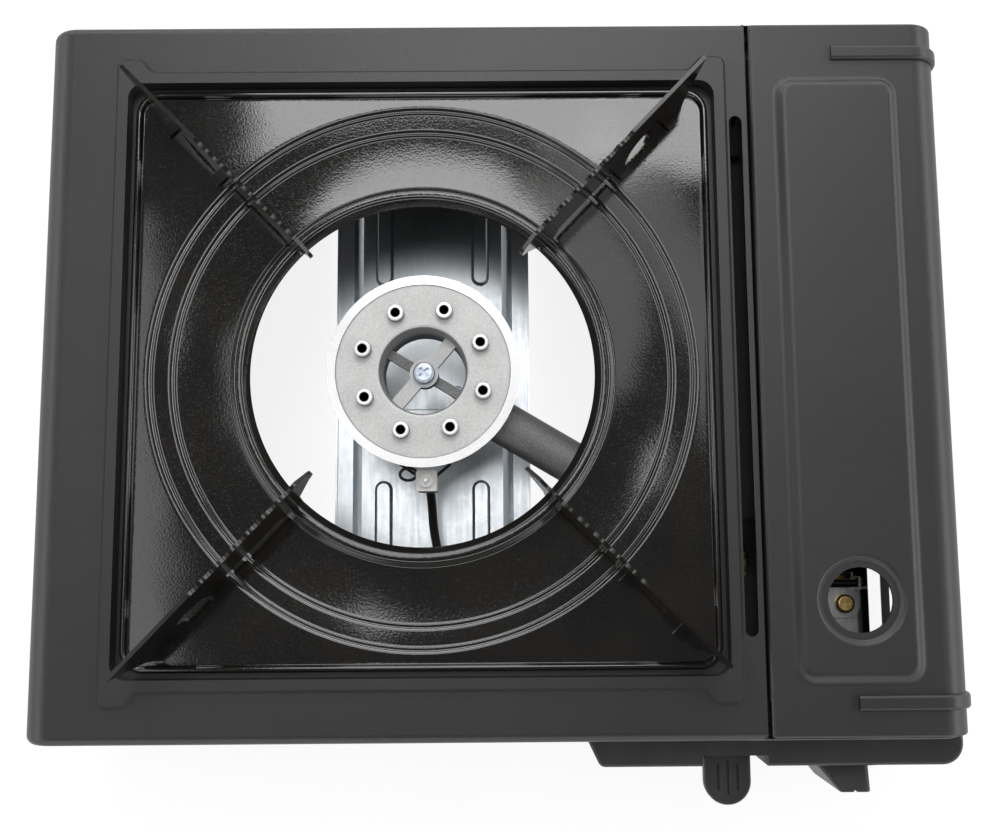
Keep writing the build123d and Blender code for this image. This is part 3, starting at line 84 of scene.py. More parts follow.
class Val:
    """A shader value on a socket, with arithmetic that adds Math nodes."""

    def __init__(self, tree: "ShaderTree", socket: bpy.types.NodeSocket) -> None:
        """Wraps a socket of a tree.

        Args:
            tree: the material's tree.
            socket: the output socket that carries the value.
        """
        self.tree = tree
        self.socket = socket

    def _math(self, operation: str, first: "Val | float", second: "Val | float" = 0.0) -> "Val":
        """Adds one Math node.

        Args:
            operation: the Math node's operation.
            first: its first value.
            second: its second value.

        Returns:
            The node's result.
        """
        node = self.tree.add("ShaderNodeMath", {"operation": operation}, {0: first, 1: second})
        return Val(self.tree, node.outputs[0])

    def __add__(self, other: "Val | float") -> "Val":
        """Sum."""
        return self._math("ADD", self, other)

    __radd__ = __add__

    def __sub__(self, other: "Val | float") -> "Val":
        """Difference."""
        return self._math("SUBTRACT", self, other)

    def __rsub__(self, other: float) -> "Val":
        """Difference from a number."""
        return self._math("SUBTRACT", other, self)

    def __mul__(self, other: "Val | float") -> "Val":
        """Product."""
        return self._math("MULTIPLY", self, other)

    __rmul__ = __mul__

    def __pow__(self, other: float) -> "Val":
        """Power."""
        return self._math("POWER", self, other)

    def larger(self, other: "Val | float") -> "Val":
        """The larger of two values."""
        return self._math("MAXIMUM", self, other)

    def size(self) -> "Val":
        """The value without its sign."""
        return self._math("ABSOLUTE", self)

    def sine(self) -> "Val":
        """Sine of the value in radians."""
        return self._math("SINE", self)

    def cosine(self) -> "Val":
        """Cosine of the value in radians."""
        return self._math("COSINE", self)

    def angle(self, other: "Val") -> "Val":
        """Angle of the point with this value as its y and other as its x."""
        return self._math("ARCTAN2", self, other)

    def fold(self, span: float) -> "Val":
        """The value folded to and fro between 0 and span."""
        return self._math("PINGPONG", self, span)

    def blend(self, share: float, other: "Val") -> "Val":
        """A share of this value and the rest of another."""
        return self * share + other * (1.0 - share)

    def step(self, low: float, high: float) -> "Val":
        """Smooth step from 0 at low to 1 at high.

        Args:
            low: value that gives 0.
            high: value that gives 1; it may be below low.

        Returns:
            The stepped value.
        """
        settings = {"interpolation_type": "SMOOTHSTEP"}
        flipped = high < low
        first, last = (high, low) if flipped else (low, high)
        node = self.tree.add("ShaderNodeMapRange", settings, {0: self, 1: first, 2: last})
        stepped = Val(self.tree, node.outputs[0])
        return 1.0 - stepped if flipped else stepped


class ShaderTree:
    """The node tree of a material or of the world, built node by node."""

    def __init__(self, owner: "bpy.types.Material | bpy.types.World") -> None:
        """Starts an empty tree.

        Args:
            owner: the material or world that the tree belongs to.
        """
        self.owner = owner
        owner.use_nodes = True
        self.nodes = owner.node_tree.nodes
        self.links = owner.node_tree.links
        self.nodes.clear()

    def add(self, kind: str, settings: dict | None = None, inputs: dict | None = None) -> bpy.types.Node:
        """Makes any node.

        Args:
            kind: the node's type.
            settings: attributes that are set first.
            inputs: values or links, by socket name or index.

        Returns:
            The new node.
        """
        node = self.nodes.new(kind)
        for key, value in (settings or {}).items():
            setattr(node, key, value)
        for key, value in (inputs or {}).items():
            if isinstance(value, Val):
                self.links.new(value.socket, node.inputs[key])
            elif isinstance(value, bpy.types.NodeSocket):
                self.links.new(value, node.inputs[key])
            else:
                node.inputs[key].default_value = value
        return node

    def place(self) -> bpy.types.NodeSocket:
        """Position in the row frame at rest, in metres."""
        return self.add("ShaderNodeTexCoord").outputs["Object"]

    def axes(self) -> tuple[Val, Val, Val]:
        """The three coordinates of the position."""
        parts = self.add("ShaderNodeSeparateXYZ", None, {0: self.place()})
        return tuple(Val(self, socket) for socket in parts.outputs)

    def facing(self) -> tuple[Val, Val, Val]:
        """Splits the surface's normal.

        Returns:
            Its x, y and z parts.
        """
        normal = self.add("ShaderNodeNewGeometry").outputs["True Normal"]
        parts = self.add("ShaderNodeSeparateXYZ", None, {0: normal})
        return tuple(Val(self, socket) for socket in parts.outputs)

    def stretched(self, scale: Point) -> bpy.types.NodeSocket:
        """Position scaled along each axis."""
        return self.add("ShaderNodeMapping", None, {"Vector": self.place(), "Scale": scale}).outputs[0]

    def noise(self, scale: float, detail: float, vector: bpy.types.NodeSocket | None = None) -> Val:
        """Noise of a scale per metre.

        Args:
            scale: waves per metre.
            detail: finer layers.
            vector: position to use in place of the plain one.

        Returns:
            The noise, about 0.5.
        """
        settings = {"normalize": True}
        inputs = {"Vector": vector or self.place(), "Scale": scale, "Detail": detail}
        return Val(self, self.add("ShaderNodeTexNoise", settings, inputs).outputs[0])

    def cells(self, scale: float) -> bpy.types.Node:
        """Voronoi cells of a scale per metre."""
        return self.add("ShaderNodeTexVoronoi", None, {"Vector": self.place(), "Scale": scale})

    def mix(self, factor: Val, first: "Colour | bpy.types.NodeSocket",
            second: "Colour | bpy.types.NodeSocket") -> bpy.types.NodeSocket:
        """Blend of two colours.

        Args:
            factor: 0 for the first, 1 for the second.
            first: colour or link.
            second: colour or link.

        Returns:
            The blended colour's socket.
        """
        inputs = {0: factor, MIX_FIRST: self.colour(first), MIX_SECOND: self.colour(second)}
        return self.add("ShaderNodeMix", {"data_type": "RGBA"}, inputs).outputs[MIX_RESULT]

    @staticmethod
    def colour(value: "Colour | bpy.types.NodeSocket") -> "tuple | bpy.types.NodeSocket":
        """A colour with its alpha, or the link as it is."""
        return value if isinstance(value, bpy.types.NodeSocket) else (*value, 1.0)

    def bump(self, height: Val, distance: float, strength: float = 1.0) -> bpy.types.NodeSocket:
        """Bump from a height.

        Args:
            height: the height, from 0 to 1.
            distance: its size in metres.
            strength: how much of it shows.

        Returns:
            The bent normal's socket.
        """
        inputs = {"Height": height, "Distance": distance, "Strength": strength}
        return self.add("ShaderNodeBump", None, inputs).outputs[0]

    def close(self, inputs: dict) -> bpy.types.Material:
        """Ends the tree in one Principled shader.

        Args:
            inputs: the shader's sockets, as values or links.

        Returns:
            The finished material.
        """
        shader = self.add("ShaderNodeBsdfPrincipled", None, inputs)
        self.add("ShaderNodeOutputMaterial", None, {"Surface": shader.outputs[0]})
        return self.owner


@dataclass(frozen=True)
class Finish:
    """A finish that makes its material once."""

    name: str

    def shade(self, tree: ShaderTree) -> bpy.types.Material:
        """Fills the tree of the finish's material; each kind of finish has its own.

        Args:
            tree: the empty tree.

        Returns:
            The finished material.
        """
        raise NotImplementedError

    def material(self) -> bpy.types.Material:
        """The finish's material, made at first use."""
        made = bpy.data.materials.get(self.name)
        return made or self.shade(ShaderTree(bpy.data.materials.new(self.name)))


@dataclass(frozen=True)
class PowderCoat(Finish):
    """Matt charcoal powder coat with a fine orange peel."""

    dark: Colour = (0.0122, 0.0125, 0.0136)
    light: Colour = (0.0176, 0.0179, 0.0194)
    rough: float = 0.37
    gloss: float = 0.6
    peel_scale: float = 1500.0
    grit_scale: float = 5200.0
    cloud_scale: float = 16.0
    peel_depth: float = 0.00012
    tone_band: Band = (0.3, 0.7)
    cloud_share: float = 0.7
    peel_share: float = 0.75
    peel_rough: float = 0.14
    relief: float = 0.55

    def shade(self, tree: ShaderTree) -> bpy.types.Material:
        """Mottled dark coat with fine peel in roughness and bump.

        Args:
            tree: the empty tree.

        Returns:
            The finished material.
        """
        peel = tree.noise(self.peel_scale, detail=2.0)
        grit = tree.noise(self.grit_scale, detail=1.0)
        cloud = tree.noise(self.cloud_scale, detail=3.0)
        tone = cloud.blend(self.cloud_share, grit).step(*self.tone_band)
        height = peel.blend(self.peel_share, grit)
        return tree.close({
            "Base Color": tree.mix(tone, self.dark, self.light),
            "Roughness": self.rough + self.peel_rough * peel,
            "Specular IOR Level": self.gloss,
            "Normal": tree.bump(height, self.peel_depth, self.relief),
        })


@dataclass(frozen=True)
class Enamel(Finish):
    """Thick glossy black enamel with a slow swell, fine peel and pits."""

    deep: Colour = (0.0052, 0.0043, 0.0034)
    warm: Colour = (0.0105, 0.0089, 0.007)
    wave: float = 26.0
    swell: float = 0.00022
    rough: float = 0.03
    gloss: float = 0.8
    peel_scale: float = 1300.0
    pit_scale: float = 2600.0
    cloud_scale: float = 24.0
    tone_band: Band = (0.3, 0.7)
    pit_band: Band = (0.66, 0.74)
    peel_height: float = 0.07
    pit_depth: float = 0.03
    peel_rough: float = 0.06
    pit_rough: float = 0.12

    def shade(self, tree: ShaderTree) -> bpy.types.Material:
        """Black glaze whose swell and peel break up its reflections.

        Args:
            tree: the empty tree.

        Returns:
            The finished material.
        """
        long_wave = tree.noise(self.wave, detail=1.0)
        peel = tree.noise(self.peel_scale, detail=2.0)
        cloud = tree.noise(self.cloud_scale, detail=3.0)
        pits = tree.noise(self.pit_scale, detail=1.0).step(*self.pit_band)
        height = long_wave + peel * self.peel_height - pits * self.pit_depth
        return tree.close({
            "Base Color": tree.mix(cloud.step(*self.tone_band), self.deep, self.warm),
            "Roughness": self.rough + self.peel_rough * peel + self.pit_rough * pits,
            "Specular IOR Level": self.gloss,
            "Normal": tree.bump(height, self.swell),
        })


@dataclass(frozen=True)
class CastAluminium(Finish):
    """Die-cast aluminium: speckled cast skin, bright machined tops, dark soot low down, and painted shade
    on steep faces and in the nozzle bores.
    """

    burner_at: tuple[float, float] = middle("burner_cap")
    rim_from: float = 0.0334
    rim_edge: float = 0.0366
    rim_top: float = 0.076
    rim_depth: float = 0.0012
    rim_round: float = 0.0009
    soot_from: float = 0.002
    soot_to: float = 0.006
    nozzles: int = 8
    nozzle_circle: float = 0.0243
    nozzle_start: float = 25.3
    nozzle_bore: float = 0.00175
    nozzle_rise: float = 0.003
    blur: float = 0.0002
    grain_scale: float = 2400.0
    blotch_scale: float = 210.0
    turning: float = 21000.0
    cast_depth: float = 0.0003
    skin: Colour = (0.5, 0.497, 0.49)
    pale: Colour = (0.66, 0.657, 0.65)
    # dark serves both the soot low down and the painted shade on steep faces
    dark: Colour = (0.15, 0.15, 0.152)
    bright: Colour = (0.7, 0.7, 0.7)
    # painted shade: near-black colour painted into the nozzle bores
    bore_shade: Colour = (0.012, 0.012, 0.012)
    soot: float = 1.0
    # share of painted shade on steep faces; the band below picks those faces
    wall_shade: float = 0.85
    flat_band: Band = (0.9, 0.98)
    wall_shade_band: Band = (0.8, 0.45)
    tone_band: Band = (0.3, 0.7)
    soot_band: Band = (0.3, 0.8)
    soot_grain: float = 0.5
    tone_share: float = 0.85
    relief_share: float = 0.8
    relief: float = 0.5
    smoothed: float = 0.9
    turned_height: float = 0.1
    cast_rough: float = 0.5
    grain_rough: float = 0.18
    cut_rough: float = 0.24
    turned_rough: float = 0.1
    metal: float = 0.4
    cut_metal: float = 0.3

    def shade(self, tree: ShaderTree) -> bpy.types.Material:
        """Cast skin with painted shade on its steep faces and in its nozzle bores, and with machined faces
        at the rim and on the nozzle tops.

        Args:
            tree: the empty tree.

        Returns:
            The finished material.
        """
        x, y, z = tree.axes()
        _, _, up = tree.facing()
        dx = x - self.burner_at[0]
        dy = y - self.burner_at[1]
        reach = (dx * dx + dy * dy) ** 0.5
        grain = tree.noise(self.grain_scale, detail=3.0)
        blotch = tree.noise(self.blotch_scale, detail=3.0)
        turned = (reach * self.turning).sine() * 0.5 + 0.5
        flat = up.step(*self.flat_band)
        inward = reach.step(self.rim_from - self.blur, self.rim_from + self.blur)
        rim = inward * z.step(self.rim_top - self.rim_depth, self.rim_top - 2 * self.blur)
        tops = z.step(self.rim_top + self.nozzle_rise - self.blur, self.rim_top + self.nozzle_rise)
        cut = rim.larger(tops) * flat
        outer = reach.step(self.rim_edge, self.rim_edge + self.rim_round)
        low = outer.larger(z.step(self.rim_top - self.soot_from, self.rim_top - self.soot_to))
        cast = tree.mix(grain.blend(self.tone_share, blotch).step(*self.tone_band), self.skin, self.pale)
        sooty = tree.mix(grain.step(*self.soot_band) * self.soot_grain, self.dark, self.skin)
        aged = tree.mix(low * self.soot, cast, sooty)
        # painted shade: steep faces of the casting are darkened towards the dark colour
        shaded_walls = tree.mix(up.size().step(*self.wall_shade_band) * self.wall_shade, aged, self.dark)
        # painted shade: the nozzle bores are painted near-black and lose their metal sheen
        turn = (dy.angle(dx) - math.radians(self.nozzle_start)).fold(math.pi / self.nozzles)
        gap = reach * reach + self.nozzle_circle ** 2 - reach * (2 * self.nozzle_circle) * turn.cosine()
        shaded_bore = (gap ** 0.5).step(self.nozzle_bore + self.blur, self.nozzle_bore + self.blur / 2)
        colour = tree.mix(shaded_bore, tree.mix(cut, shaded_walls, self.bright), self.bore_shade)
        rough_cast = self.cast_rough + self.grain_rough * grain
        rough = rough_cast * (1.0 - cut) + cut * (self.cut_rough + self.turned_rough * turned)
        relief = grain.blend(self.relief_share, blotch)
        height = relief * (1.0 - cut * self.smoothed) + cut * turned * self.turned_height
        return tree.close({
            "Base Color": colour,
            "Roughness": rough,
            "Metallic": (self.metal + self.cut_metal * cut) * (1.0 - shaded_bore),
            "Normal": tree.bump(height, self.cast_depth, self.relief),
        })


@dataclass(frozen=True)
class SheetMetal(Finish):
    """Plated or galvanised sheet with drawn streaks and faint spangles."""

    base: Colour = (0.62, 0.64, 0.66)
    shade_to: Colour = (0.42, 0.45, 0.48)
    rough: float = 0.26
    spangle: float = 130.0
    streaks: Point = (60.0, 4.0, 60.0)
    streak_scale: float = 12.0
    dust_scale: float = 60.0
    scratch_scale: float = 900.0
    scratch_depth: float = 0.00012
    worn_band: Band = (0.25, 0.75)
    spangle_share: float = 0.1
    streak_share: float = 0.65
    dust_share: float = 0.25
    spangle_rough: float = 0.03
    streak_rough: float = 0.14
    scratch_share: float = 0.5
    relief: float = 0.35

    def shade(self, tree: ShaderTree) -> bpy.types.Material:
        """Spangled sheet with streaks along its length.

        Args:
            tree: the empty tree.

        Returns:
            The finished material.
        """
        spangles = tree.cells(self.spangle)
        split = tree.add("ShaderNodeSeparateXYZ", None, {0: spangles.outputs["Color"]})
        tone = Val(tree, split.outputs[0])
        drawn = tree.noise(self.streak_scale, detail=4.0, vector=tree.stretched(self.streaks))
        dust = tree.noise(self.dust_scale, detail=4.0)
        scratch = tree.noise(self.scratch_scale, detail=2.0)
        wear = tone * self.spangle_share + drawn * self.streak_share + dust * self.dust_share
        return tree.close({
            "Base Color": tree.mix(wear.step(*self.worn_band), self.base, self.shade_to),
            "Roughness": self.rough + self.spangle_rough * tone + self.streak_rough * drawn,
            "Metallic": 1.0,
            "Normal": tree.bump(scratch.blend(self.scratch_share, drawn), self.scratch_depth, self.relief),
        })


@dataclass(frozen=True)
class TurnedMetal(Finish):
    """Small turned or headed metal pieces, such as screws, jets and pins."""

    base: Colour = (0.55, 0.6, 0.68)
    worn: Colour = (0.3, 0.34, 0.42)
    rough: float = 0.24
    mark_scale: float = 1800.0
    mark_depth: float = 0.00008
    cloud_scale: float = 340.0
    worn_band: Band = (0.35, 0.68)
    mark_share: float = 0.4
    mark_rough: float = 0.2
    relief: float = 0.4

    def shade(self, tree: ShaderTree) -> bpy.types.Material:
        """Plated metal with fine handling marks.

        Args:
            tree: the empty tree.

        Returns:
            The finished material.
        """
        marks = tree.noise(self.mark_scale, detail=3.0)
        cloud = tree.noise(self.cloud_scale, detail=3.0)
        wear = marks.blend(self.mark_share, cloud)
        return tree.close({
            "Base Color": tree.mix(wear.step(*self.worn_band), self.base, self.worn),
            "Roughness": self.rough + self.mark_rough * marks,
            "Metallic": 1.0,
            "Normal": tree.bump(marks, self.mark_depth, self.relief),
        })


@dataclass(frozen=True)
class Moulding(Finish):
    """Injection-moulded plastic with a fine spark-eroded grain."""

    base: Colour = (0.021, 0.0205, 0.02)
    rubbed: Colour = (0.034, 0.033, 0.032)
    rough: float = 0.36
    grain: float = 2600.0
    grain_depth: float = 0.0001
    rub_scale: float = 45.0
    rub_band: Band = (0.35, 0.68)
    rub_share: float = 0.75
    rub_rough: float = 0.06
    grain_rough: float = 0.12
    gloss: float = 0.45
    relief: float = 0.45

    def shade(self, tree: ShaderTree) -> bpy.types.Material:
        """Grained plastic with rubbed patches.

        Args:
            tree: the empty tree.

        Returns:
            The finished material.
        """
        grain = tree.noise(self.grain, detail=2.0)
        rub = tree.noise(self.rub_scale, detail=4.0)
        wear = rub.blend(self.rub_share, grain)
        return tree.close({
            "Base Color": tree.mix(wear.step(*self.rub_band), self.base, self.rubbed),
            "Roughness": self.rough + self.grain_rough * grain + self.rub_rough * rub,
            "Specular IOR Level": self.gloss,
            "Normal": tree.bump(grain, self.grain_depth, self.relief),
        })


@dataclass(frozen=True)
class Glaze(Finish):
    """Off-white fired insulator with faint stains."""

    base: Colour = (0.9, 0.885, 0.85)
    stain: Colour = (0.7, 0.65, 0.57)
    stain_scale: float = 420.0
    pore_scale: float = 3000.0
    pore_depth: float = 0.0001
    stain_band: Band = (0.52, 0.8)
    rough: float = 0.34
    pore_rough: float = 0.2
    pore_share: float = 0.6
    relief: float = 0.3

    def shade(self, tree: ShaderTree) -> bpy.types.Material:
        """Semi-matt ceramic with stains.

        Args:
            tree: the empty tree.

        Returns:
            The finished material.
        """
        stains = tree.noise(self.stain_scale, detail=4.0)
        pores = tree.noise(self.pore_scale, detail=2.0)
        return tree.close({
            "Base Color": tree.mix(stains.step(*self.stain_band), self.base, self.stain),
            "Roughness": self.rough + self.pore_rough * pores,
            "Normal": tree.bump(pores.blend(self.pore_share, stains), self.pore_depth, self.relief),
        })


COAT = PowderCoat("charcoal_powder_coat")
# painted shade: near-black, almost unreflecting coat that makes the partition read as the dark inside of
# the slot
PAINTED_SHADE_COAT = PowderCoat("partition_painted_shade", (0.004, 0.004, 0.0042), (0.008, 0.008, 0.0084), 0.75, 0.03)
ENAMEL = Enamel("black_enamel")
BLADE_ENAMEL = Enamel("black_enamel_blades", wave=70.0, swell=0.00014, rough=0.16, gloss=0.45)
CAST = CastAluminium("cast_aluminium")
CAST_FACE = CastAluminium("cast_aluminium_face", soot=0.0)
GALVANISED = SheetMetal("galvanised_sheet", (0.9, 0.94, 0.97), (0.78, 0.83, 0.87), 0.24, 420.0)
PLATED = SheetMetal("plated_sheet", (0.6, 0.6, 0.58), (0.42, 0.42, 0.4), 0.3, 260.0)
ZINC = TurnedMetal("zinc_screw")
DARK_WIRE = TurnedMetal("dark_wire", (0.06, 0.06, 0.06), (0.025, 0.025, 0.025), 0.35)
BRASS = TurnedMetal("turned_brass", (0.78, 0.58, 0.25), (0.5, 0.34, 0.13), 0.26)
COPPER = TurnedMetal("drawn_copper", (0.72, 0.4, 0.27), (0.42, 0.22, 0.15), 0.3)
DIE_CAST = TurnedMetal("die_cast_body", (0.52, 0.52, 0.52), (0.33, 0.33, 0.34), 0.42)
BLACK_PLASTIC = Moulding("satin_black_plastic")
CREAM_PLASTIC = Moulding("cream_plastic", (0.56, 0.52, 0.42), (0.64, 0.6, 0.5), 0.4)
RUBBER = Moulding("black_rubber", (0.014, 0.014, 0.014), (0.026, 0.026, 0.025), 0.58, 1500.0)
CERAMIC = Glaze("fired_insulator")


NO_LENGTH = 1e-4
EDGE_STEPS = 3
EDGE_LIMIT = math.radians(35)


def dress(node: str, finish: Finish, edge: float = 0.0) -> None:
    """Gives a CAD node its finish.

    Args:
        node: the node's name.
        finish: its finish.
        edge: width in metres of the softened edges, or 0 for none.
    """
    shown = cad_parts[node]
    shown.data.materials.clear()
    shown.data.materials.append(finish.material())
    if edge > 0:
        rounding = shown.modifiers.new("softened_edges", "BEVEL")
        rounding.width = edge
        rounding.segments = EDGE_STEPS
        rounding.limit_method = "ANGLE"
        rounding.angle_limit = EDGE_LIMIT
        rounding.harden_normals = False
    log.info("%s: %s", node, finish.name)


def piece(name: str, shape: bmesh.types.BMesh, finish: Finish, body: Body) -> bpy.types.Object:
    """Turns a finished mesh into a smooth piece that rides on a body.

    Args:
        name: the piece's name.
        shape: its mesh, in the row frame; it is freed.
        finish: its finish.
        body: the body that carries it.

    Returns:
        The new object.
    """
    mesh = bpy.data.meshes.new(name)
    bmesh.ops.recalc_face_normals(shape, faces=shape.faces)
    shape.to_mesh(mesh)
    shape.free()
    for face in mesh.polygons:
        face.use_smooth = True
    mesh.materials.append(finish.material())
    made = bpy.data.objects.new(name, mesh)
    bpy.context.scene.collection.objects.link(made)
    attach(made, body.value)
    log.info("%s: %d faces", name, len(mesh.polygons))
    return made


def tube(shape: bmesh.types.BMesh, points: list[Vector], radius: float, sides: int, closed: bool) -> None:
    """Adds a round wire along points to a mesh.

    Args:
        shape: the mesh.
        points: the wire's middle line.
        radius: the wire's radius.
        sides: faces round it.
        closed: whether the line is a ring.
    """
    count = len(points)
    angles = [2 * math.pi * step / sides for step in range(sides)]
    rings = []
    for index, point in enumerate(points):
        before = points[index - 1] if closed or index else point
        after = points[(index + 1) % count] if closed or index < count - 1 else point
        along = (after - before).normalized()
        side = along.cross(Vector((0.0, 0.0, 1.0)))
        side = side.normalized() if side.length > NO_LENGTH else Vector((1.0, 0.0, 0.0))
        lift = side.cross(along)
        spokes = [side * math.cos(angle) + lift * math.sin(angle) for angle in angles]
        rings.append([shape.verts.new(point + radius * spoke) for spoke in spokes])
    for span in range(count if closed else count - 1):
        near, far = rings[span], rings[(span + 1) % count]
        for step in range(sides):
            shape.faces.new((near[step], near[(step + 1) % sides], far[(step + 1) % sides], far[step]))
    if not closed:
        shape.faces.new(rings[0])
        shape.faces.new(rings[-1])


def rounded(points: list[Vector], radii: list[float], steps: int = 7) -> list[Vector]:
    """Rounds the corners of a flat line.

    Args:
        points: the line's points, as flat vectors.
        radii: the arc's radius at each inner point.
        steps: spans of each arc.

    Returns:
        The line's ends with its arcs between them.
    """
    line = [points[0]]
    for before, at, after, radius in zip(points, points[1:], points[2:], radii):
        back, ahead = (before - at).normalized(), (after - at).normalized()
        half = back.angle(ahead) / 2
        centre = at + (back + ahead).normalized() * radius / math.sin(half)
        first = at + back * radius / math.tan(half) - centre
        last = at + ahead * radius / math.tan(half) - centre
        line += [centre + first.slerp(last, step / steps) * radius for step in range(steps + 1)]
    return line + [points[-1]]


def offset(line: list[Vector], distance: float) -> list[Vector]:
    """Moves a flat line sideways.

    Args:
        line: the line's points.
        distance: how far, to the left of its run.

    Returns:
        The moved points.
    """
    moved = []
    for index, point in enumerate(line):
        run = line[min(index + 1, len(line) - 1)] - line[max(index - 1, 0)]
        moved.append(point + Vector((-run.y, run.x)).normalized() * distance)
    return moved


@dataclass
class Case:
    """Pressed case, partition, tray and feet."""

    bracket_edge: float = 0.0002
    foot_edge: float = 0.0006

    def dress(self) -> None:
        """Dresses the case's nodes."""
        dress("body_shell", COAT)
        # painted shade: the partition wears the near-black coat so that the slot looks dark
        dress("partition_plate", PAINTED_SHADE_COAT)
        dress("cartridge_tray", COAT)
        dress("burner_bridge", GALVANISED)
        dress("burner_bracket", GALVANISED, self.bracket_edge)
        dress("rubber_feet", RUBBER, self.foot_edge)
        dress("lid_hinge_pins", COAT)
        for screws in ("bridge_screws", "tray_screws", "panel_screws", "burner_bracket_screws"):
            dress(screws, ZINC)


@dataclass
class Lid:
    """Hinged cartridge lid."""

    def dress(self) -> None:
        """Dresses the lid."""
        dress("lid_shell", COAT)


@dataclass
class DripPan:
    """Square enamelled pan: bead, flat field, two ring steps and a rolled lip, as one drawn sheet."""

    axis: tuple[float, float] = middle("drip_pan")
    half: float = (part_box("drip_pan")[1][0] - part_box("drip_pan")[0][0]) / 2
    corner: float = 0.009
    field_top: float = 0.0816
    sheet: float = 0.0008
    bead_width: float = 0.0024
    bead_rise: float = 0.002
    bead_bend: float = 0.00105
    foot_bend: float = 0.0004
    field_from: float = 0.1051
    ring_outer: float = 0.1026
    ring_inner: float = 0.0944
    step_run: float = 0.0014
    step_drop: float = 0.0017
    step_bend: float = 0.0019
    lip_line: tuple[tuple[float, float], ...] = (
        (0.0726, 0.0), (0.0704, 0.0036), (0.068, 0.0036), (0.0656, 0.0),
    )
    lip_bends: tuple[float, ...] = (0.0016, 0.0013, 0.0012)
    crease: float = math.radians(50)
    side_columns: int = 48
    corner_columns: int = 14
    field_rows: int = 6

    def ring_profile(self) -> list[Vector]:
        """Middle line of the sheet from the field to the lip.

        Returns:
            Points of distance from the axis and height.
        """
        top = self.field_top - self.sheet / 2
        low = top - 2 * self.step_drop
        run = self.step_run / 2
        line = [
            (self.field_from, top), (self.ring_outer + run, top),
            (self.ring_outer - run, top - self.step_drop), (self.ring_inner + run, top - self.step_drop),
            (self.ring_inner - run, low), *((reach, low + rise) for reach, rise in self.lip_line),
        ]
        return rounded([Vector(point) for point in line], [self.step_bend] * 4 + list(self.lip_bends))

    def bead_profile(self) -> list[Vector]:
        """Skin of the bead from its foot in the field to its outer edge.

        Returns:
            Points of inset from the pan's edge and height.
        """
        top = self.field_top + self.bead_rise
        line = [
            (self.bead_width + 4 * self.foot_bend, self.field_top), (self.bead_width, self.field_top),
            (self.bead_width, top), (0.0, top), (0.0, self.field_top - self.sheet),
        ]
        return rounded([Vector(point) for point in line], [self.foot_bend, self.bead_bend, self.bead_bend])

    def outline(self) -> list[tuple[Vector, Vector]]:
        """The square's outer edge, once round: one side with its corner, turned four times.

        Returns:
            Points of the edge, each with its outward direction.
        """
        straight = self.half - self.corner
        widest = math.atan2(straight, self.half)
        quarter = []
        for step in range(self.side_columns):
            angle = widest * (2 * step / self.side_columns - 1)
            quarter.append((Vector((self.half, self.half * math.tan(angle))), Vector((1.0, 0.0))))
        for step in range(self.corner_columns):
            angle = math.pi / 2 * step / self.corner_columns
            out = Vector((math.cos(angle), math.sin(angle)))
            quarter.append((Vector((straight, straight)) + out * self.corner, out))
        turns = [((1, 0), (0, 1)), ((0, -1), (1, 0)), ((-1, 0), (0, -1)), ((0, 1), (-1, 0))]
        return [
            tuple(Vector((Vector(rows[0]).dot(part), Vector(rows[1]).dot(part))) for part in pair)
            for rows in turns for pair in quarter
        ]

    def build(self) -> None:
        """Sweeps the pan's section round its outline."""
        ring = self.ring_profile()
        over, under = offset(ring, -self.sheet / 2), offset(ring, self.sheet / 2)
        bead = self.bead_profile()
        shape = bmesh.new()
        columns = []
        for edge, out in self.outline():
            spoke = edge.normalized()
            near, foot = spoke * self.field_from, edge - out * bead[0].x - spoke * self.foot_bend
            rows = [(*(spoke * point.x), point.y) for point in reversed(over)]
            for step in range(1, self.field_rows + 1):
                rows.append((*near.lerp(foot, step / self.field_rows), self.field_top))
            rows += [(*(edge - out * point.x), point.y) for point in bead]
            rows += [(*(spoke * point.x), point.y) for point in under]
            columns.append([shape.verts.new(Vector((*self.axis, 0.0)) + Vector(row)) for row in rows])
        for near, far in zip(columns, columns[1:] + columns[:1]):
            for row in range(len(near)):
                after = (row + 1) % len(near)
                shape.faces.new((near[row], far[row], far[after], near[after]))
        made = piece("enamelled_pan", shape, ENAMEL, Body.PAN)
        made.data.set_sharp_from_angle(angle=self.crease)
        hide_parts("drip_pan")


@dataclass
class Blades:
    """Four blades on the pan, with the enamel that runs into their welds."""

    axis: tuple[float, float] = middle("drip_pan")
    floor: float = DripPan.field_top
    feet: tuple[tuple[float, float], ...] = ((0.1046, 0.1126), (0.126, 0.1456))
    corners: dict[str, tuple[float, int]] = field(default_factory=lambda: {
        "rear_right": (46.4, 1), "rear_left": (134.7, -1),
        "front_left": (226.4, -1), "front_right": (315.1, 1),
    })
    edge: float = 0.0006
    bead_radius: float = 0.0008
    bead_aside: float = 0.0007
    bead_wander: float = 0.00025
    bead_wave: float = 2.3
    bead_points: int = 7
    bead_sides: int = 10

    def build(self) -> None:
        """Makes the beads of enamel along the feet."""
        for corner, (angle, side) in self.corners.items():
            turn = math.radians(angle)
            out = Vector((math.cos(turn), math.sin(turn), 0.0))
            across = Vector((math.sin(turn), -math.cos(turn), 0.0)) * -side
            shape = bmesh.new()
            for near, far in self.feet:
                line = []
                for step in range(self.bead_points):
                    reach = near + (far - near) * step / (self.bead_points - 1)
                    wander = self.bead_wander * math.sin(step * self.bead_wave + angle)
                    foot = Vector((*self.axis, self.floor)) + out * reach
                    line.append(foot + across * (self.bead_aside + wander))
                tube(shape, line, self.bead_radius, self.bead_sides, closed=False)
            piece(f"foot_beads_{corner}", shape, BLADE_ENAMEL, Body.PAN)

    def dress(self) -> None:
        """Dresses the blades."""
        for corner in self.corners:
            dress(f"pan_support_{corner}", BLADE_ENAMEL, self.edge)


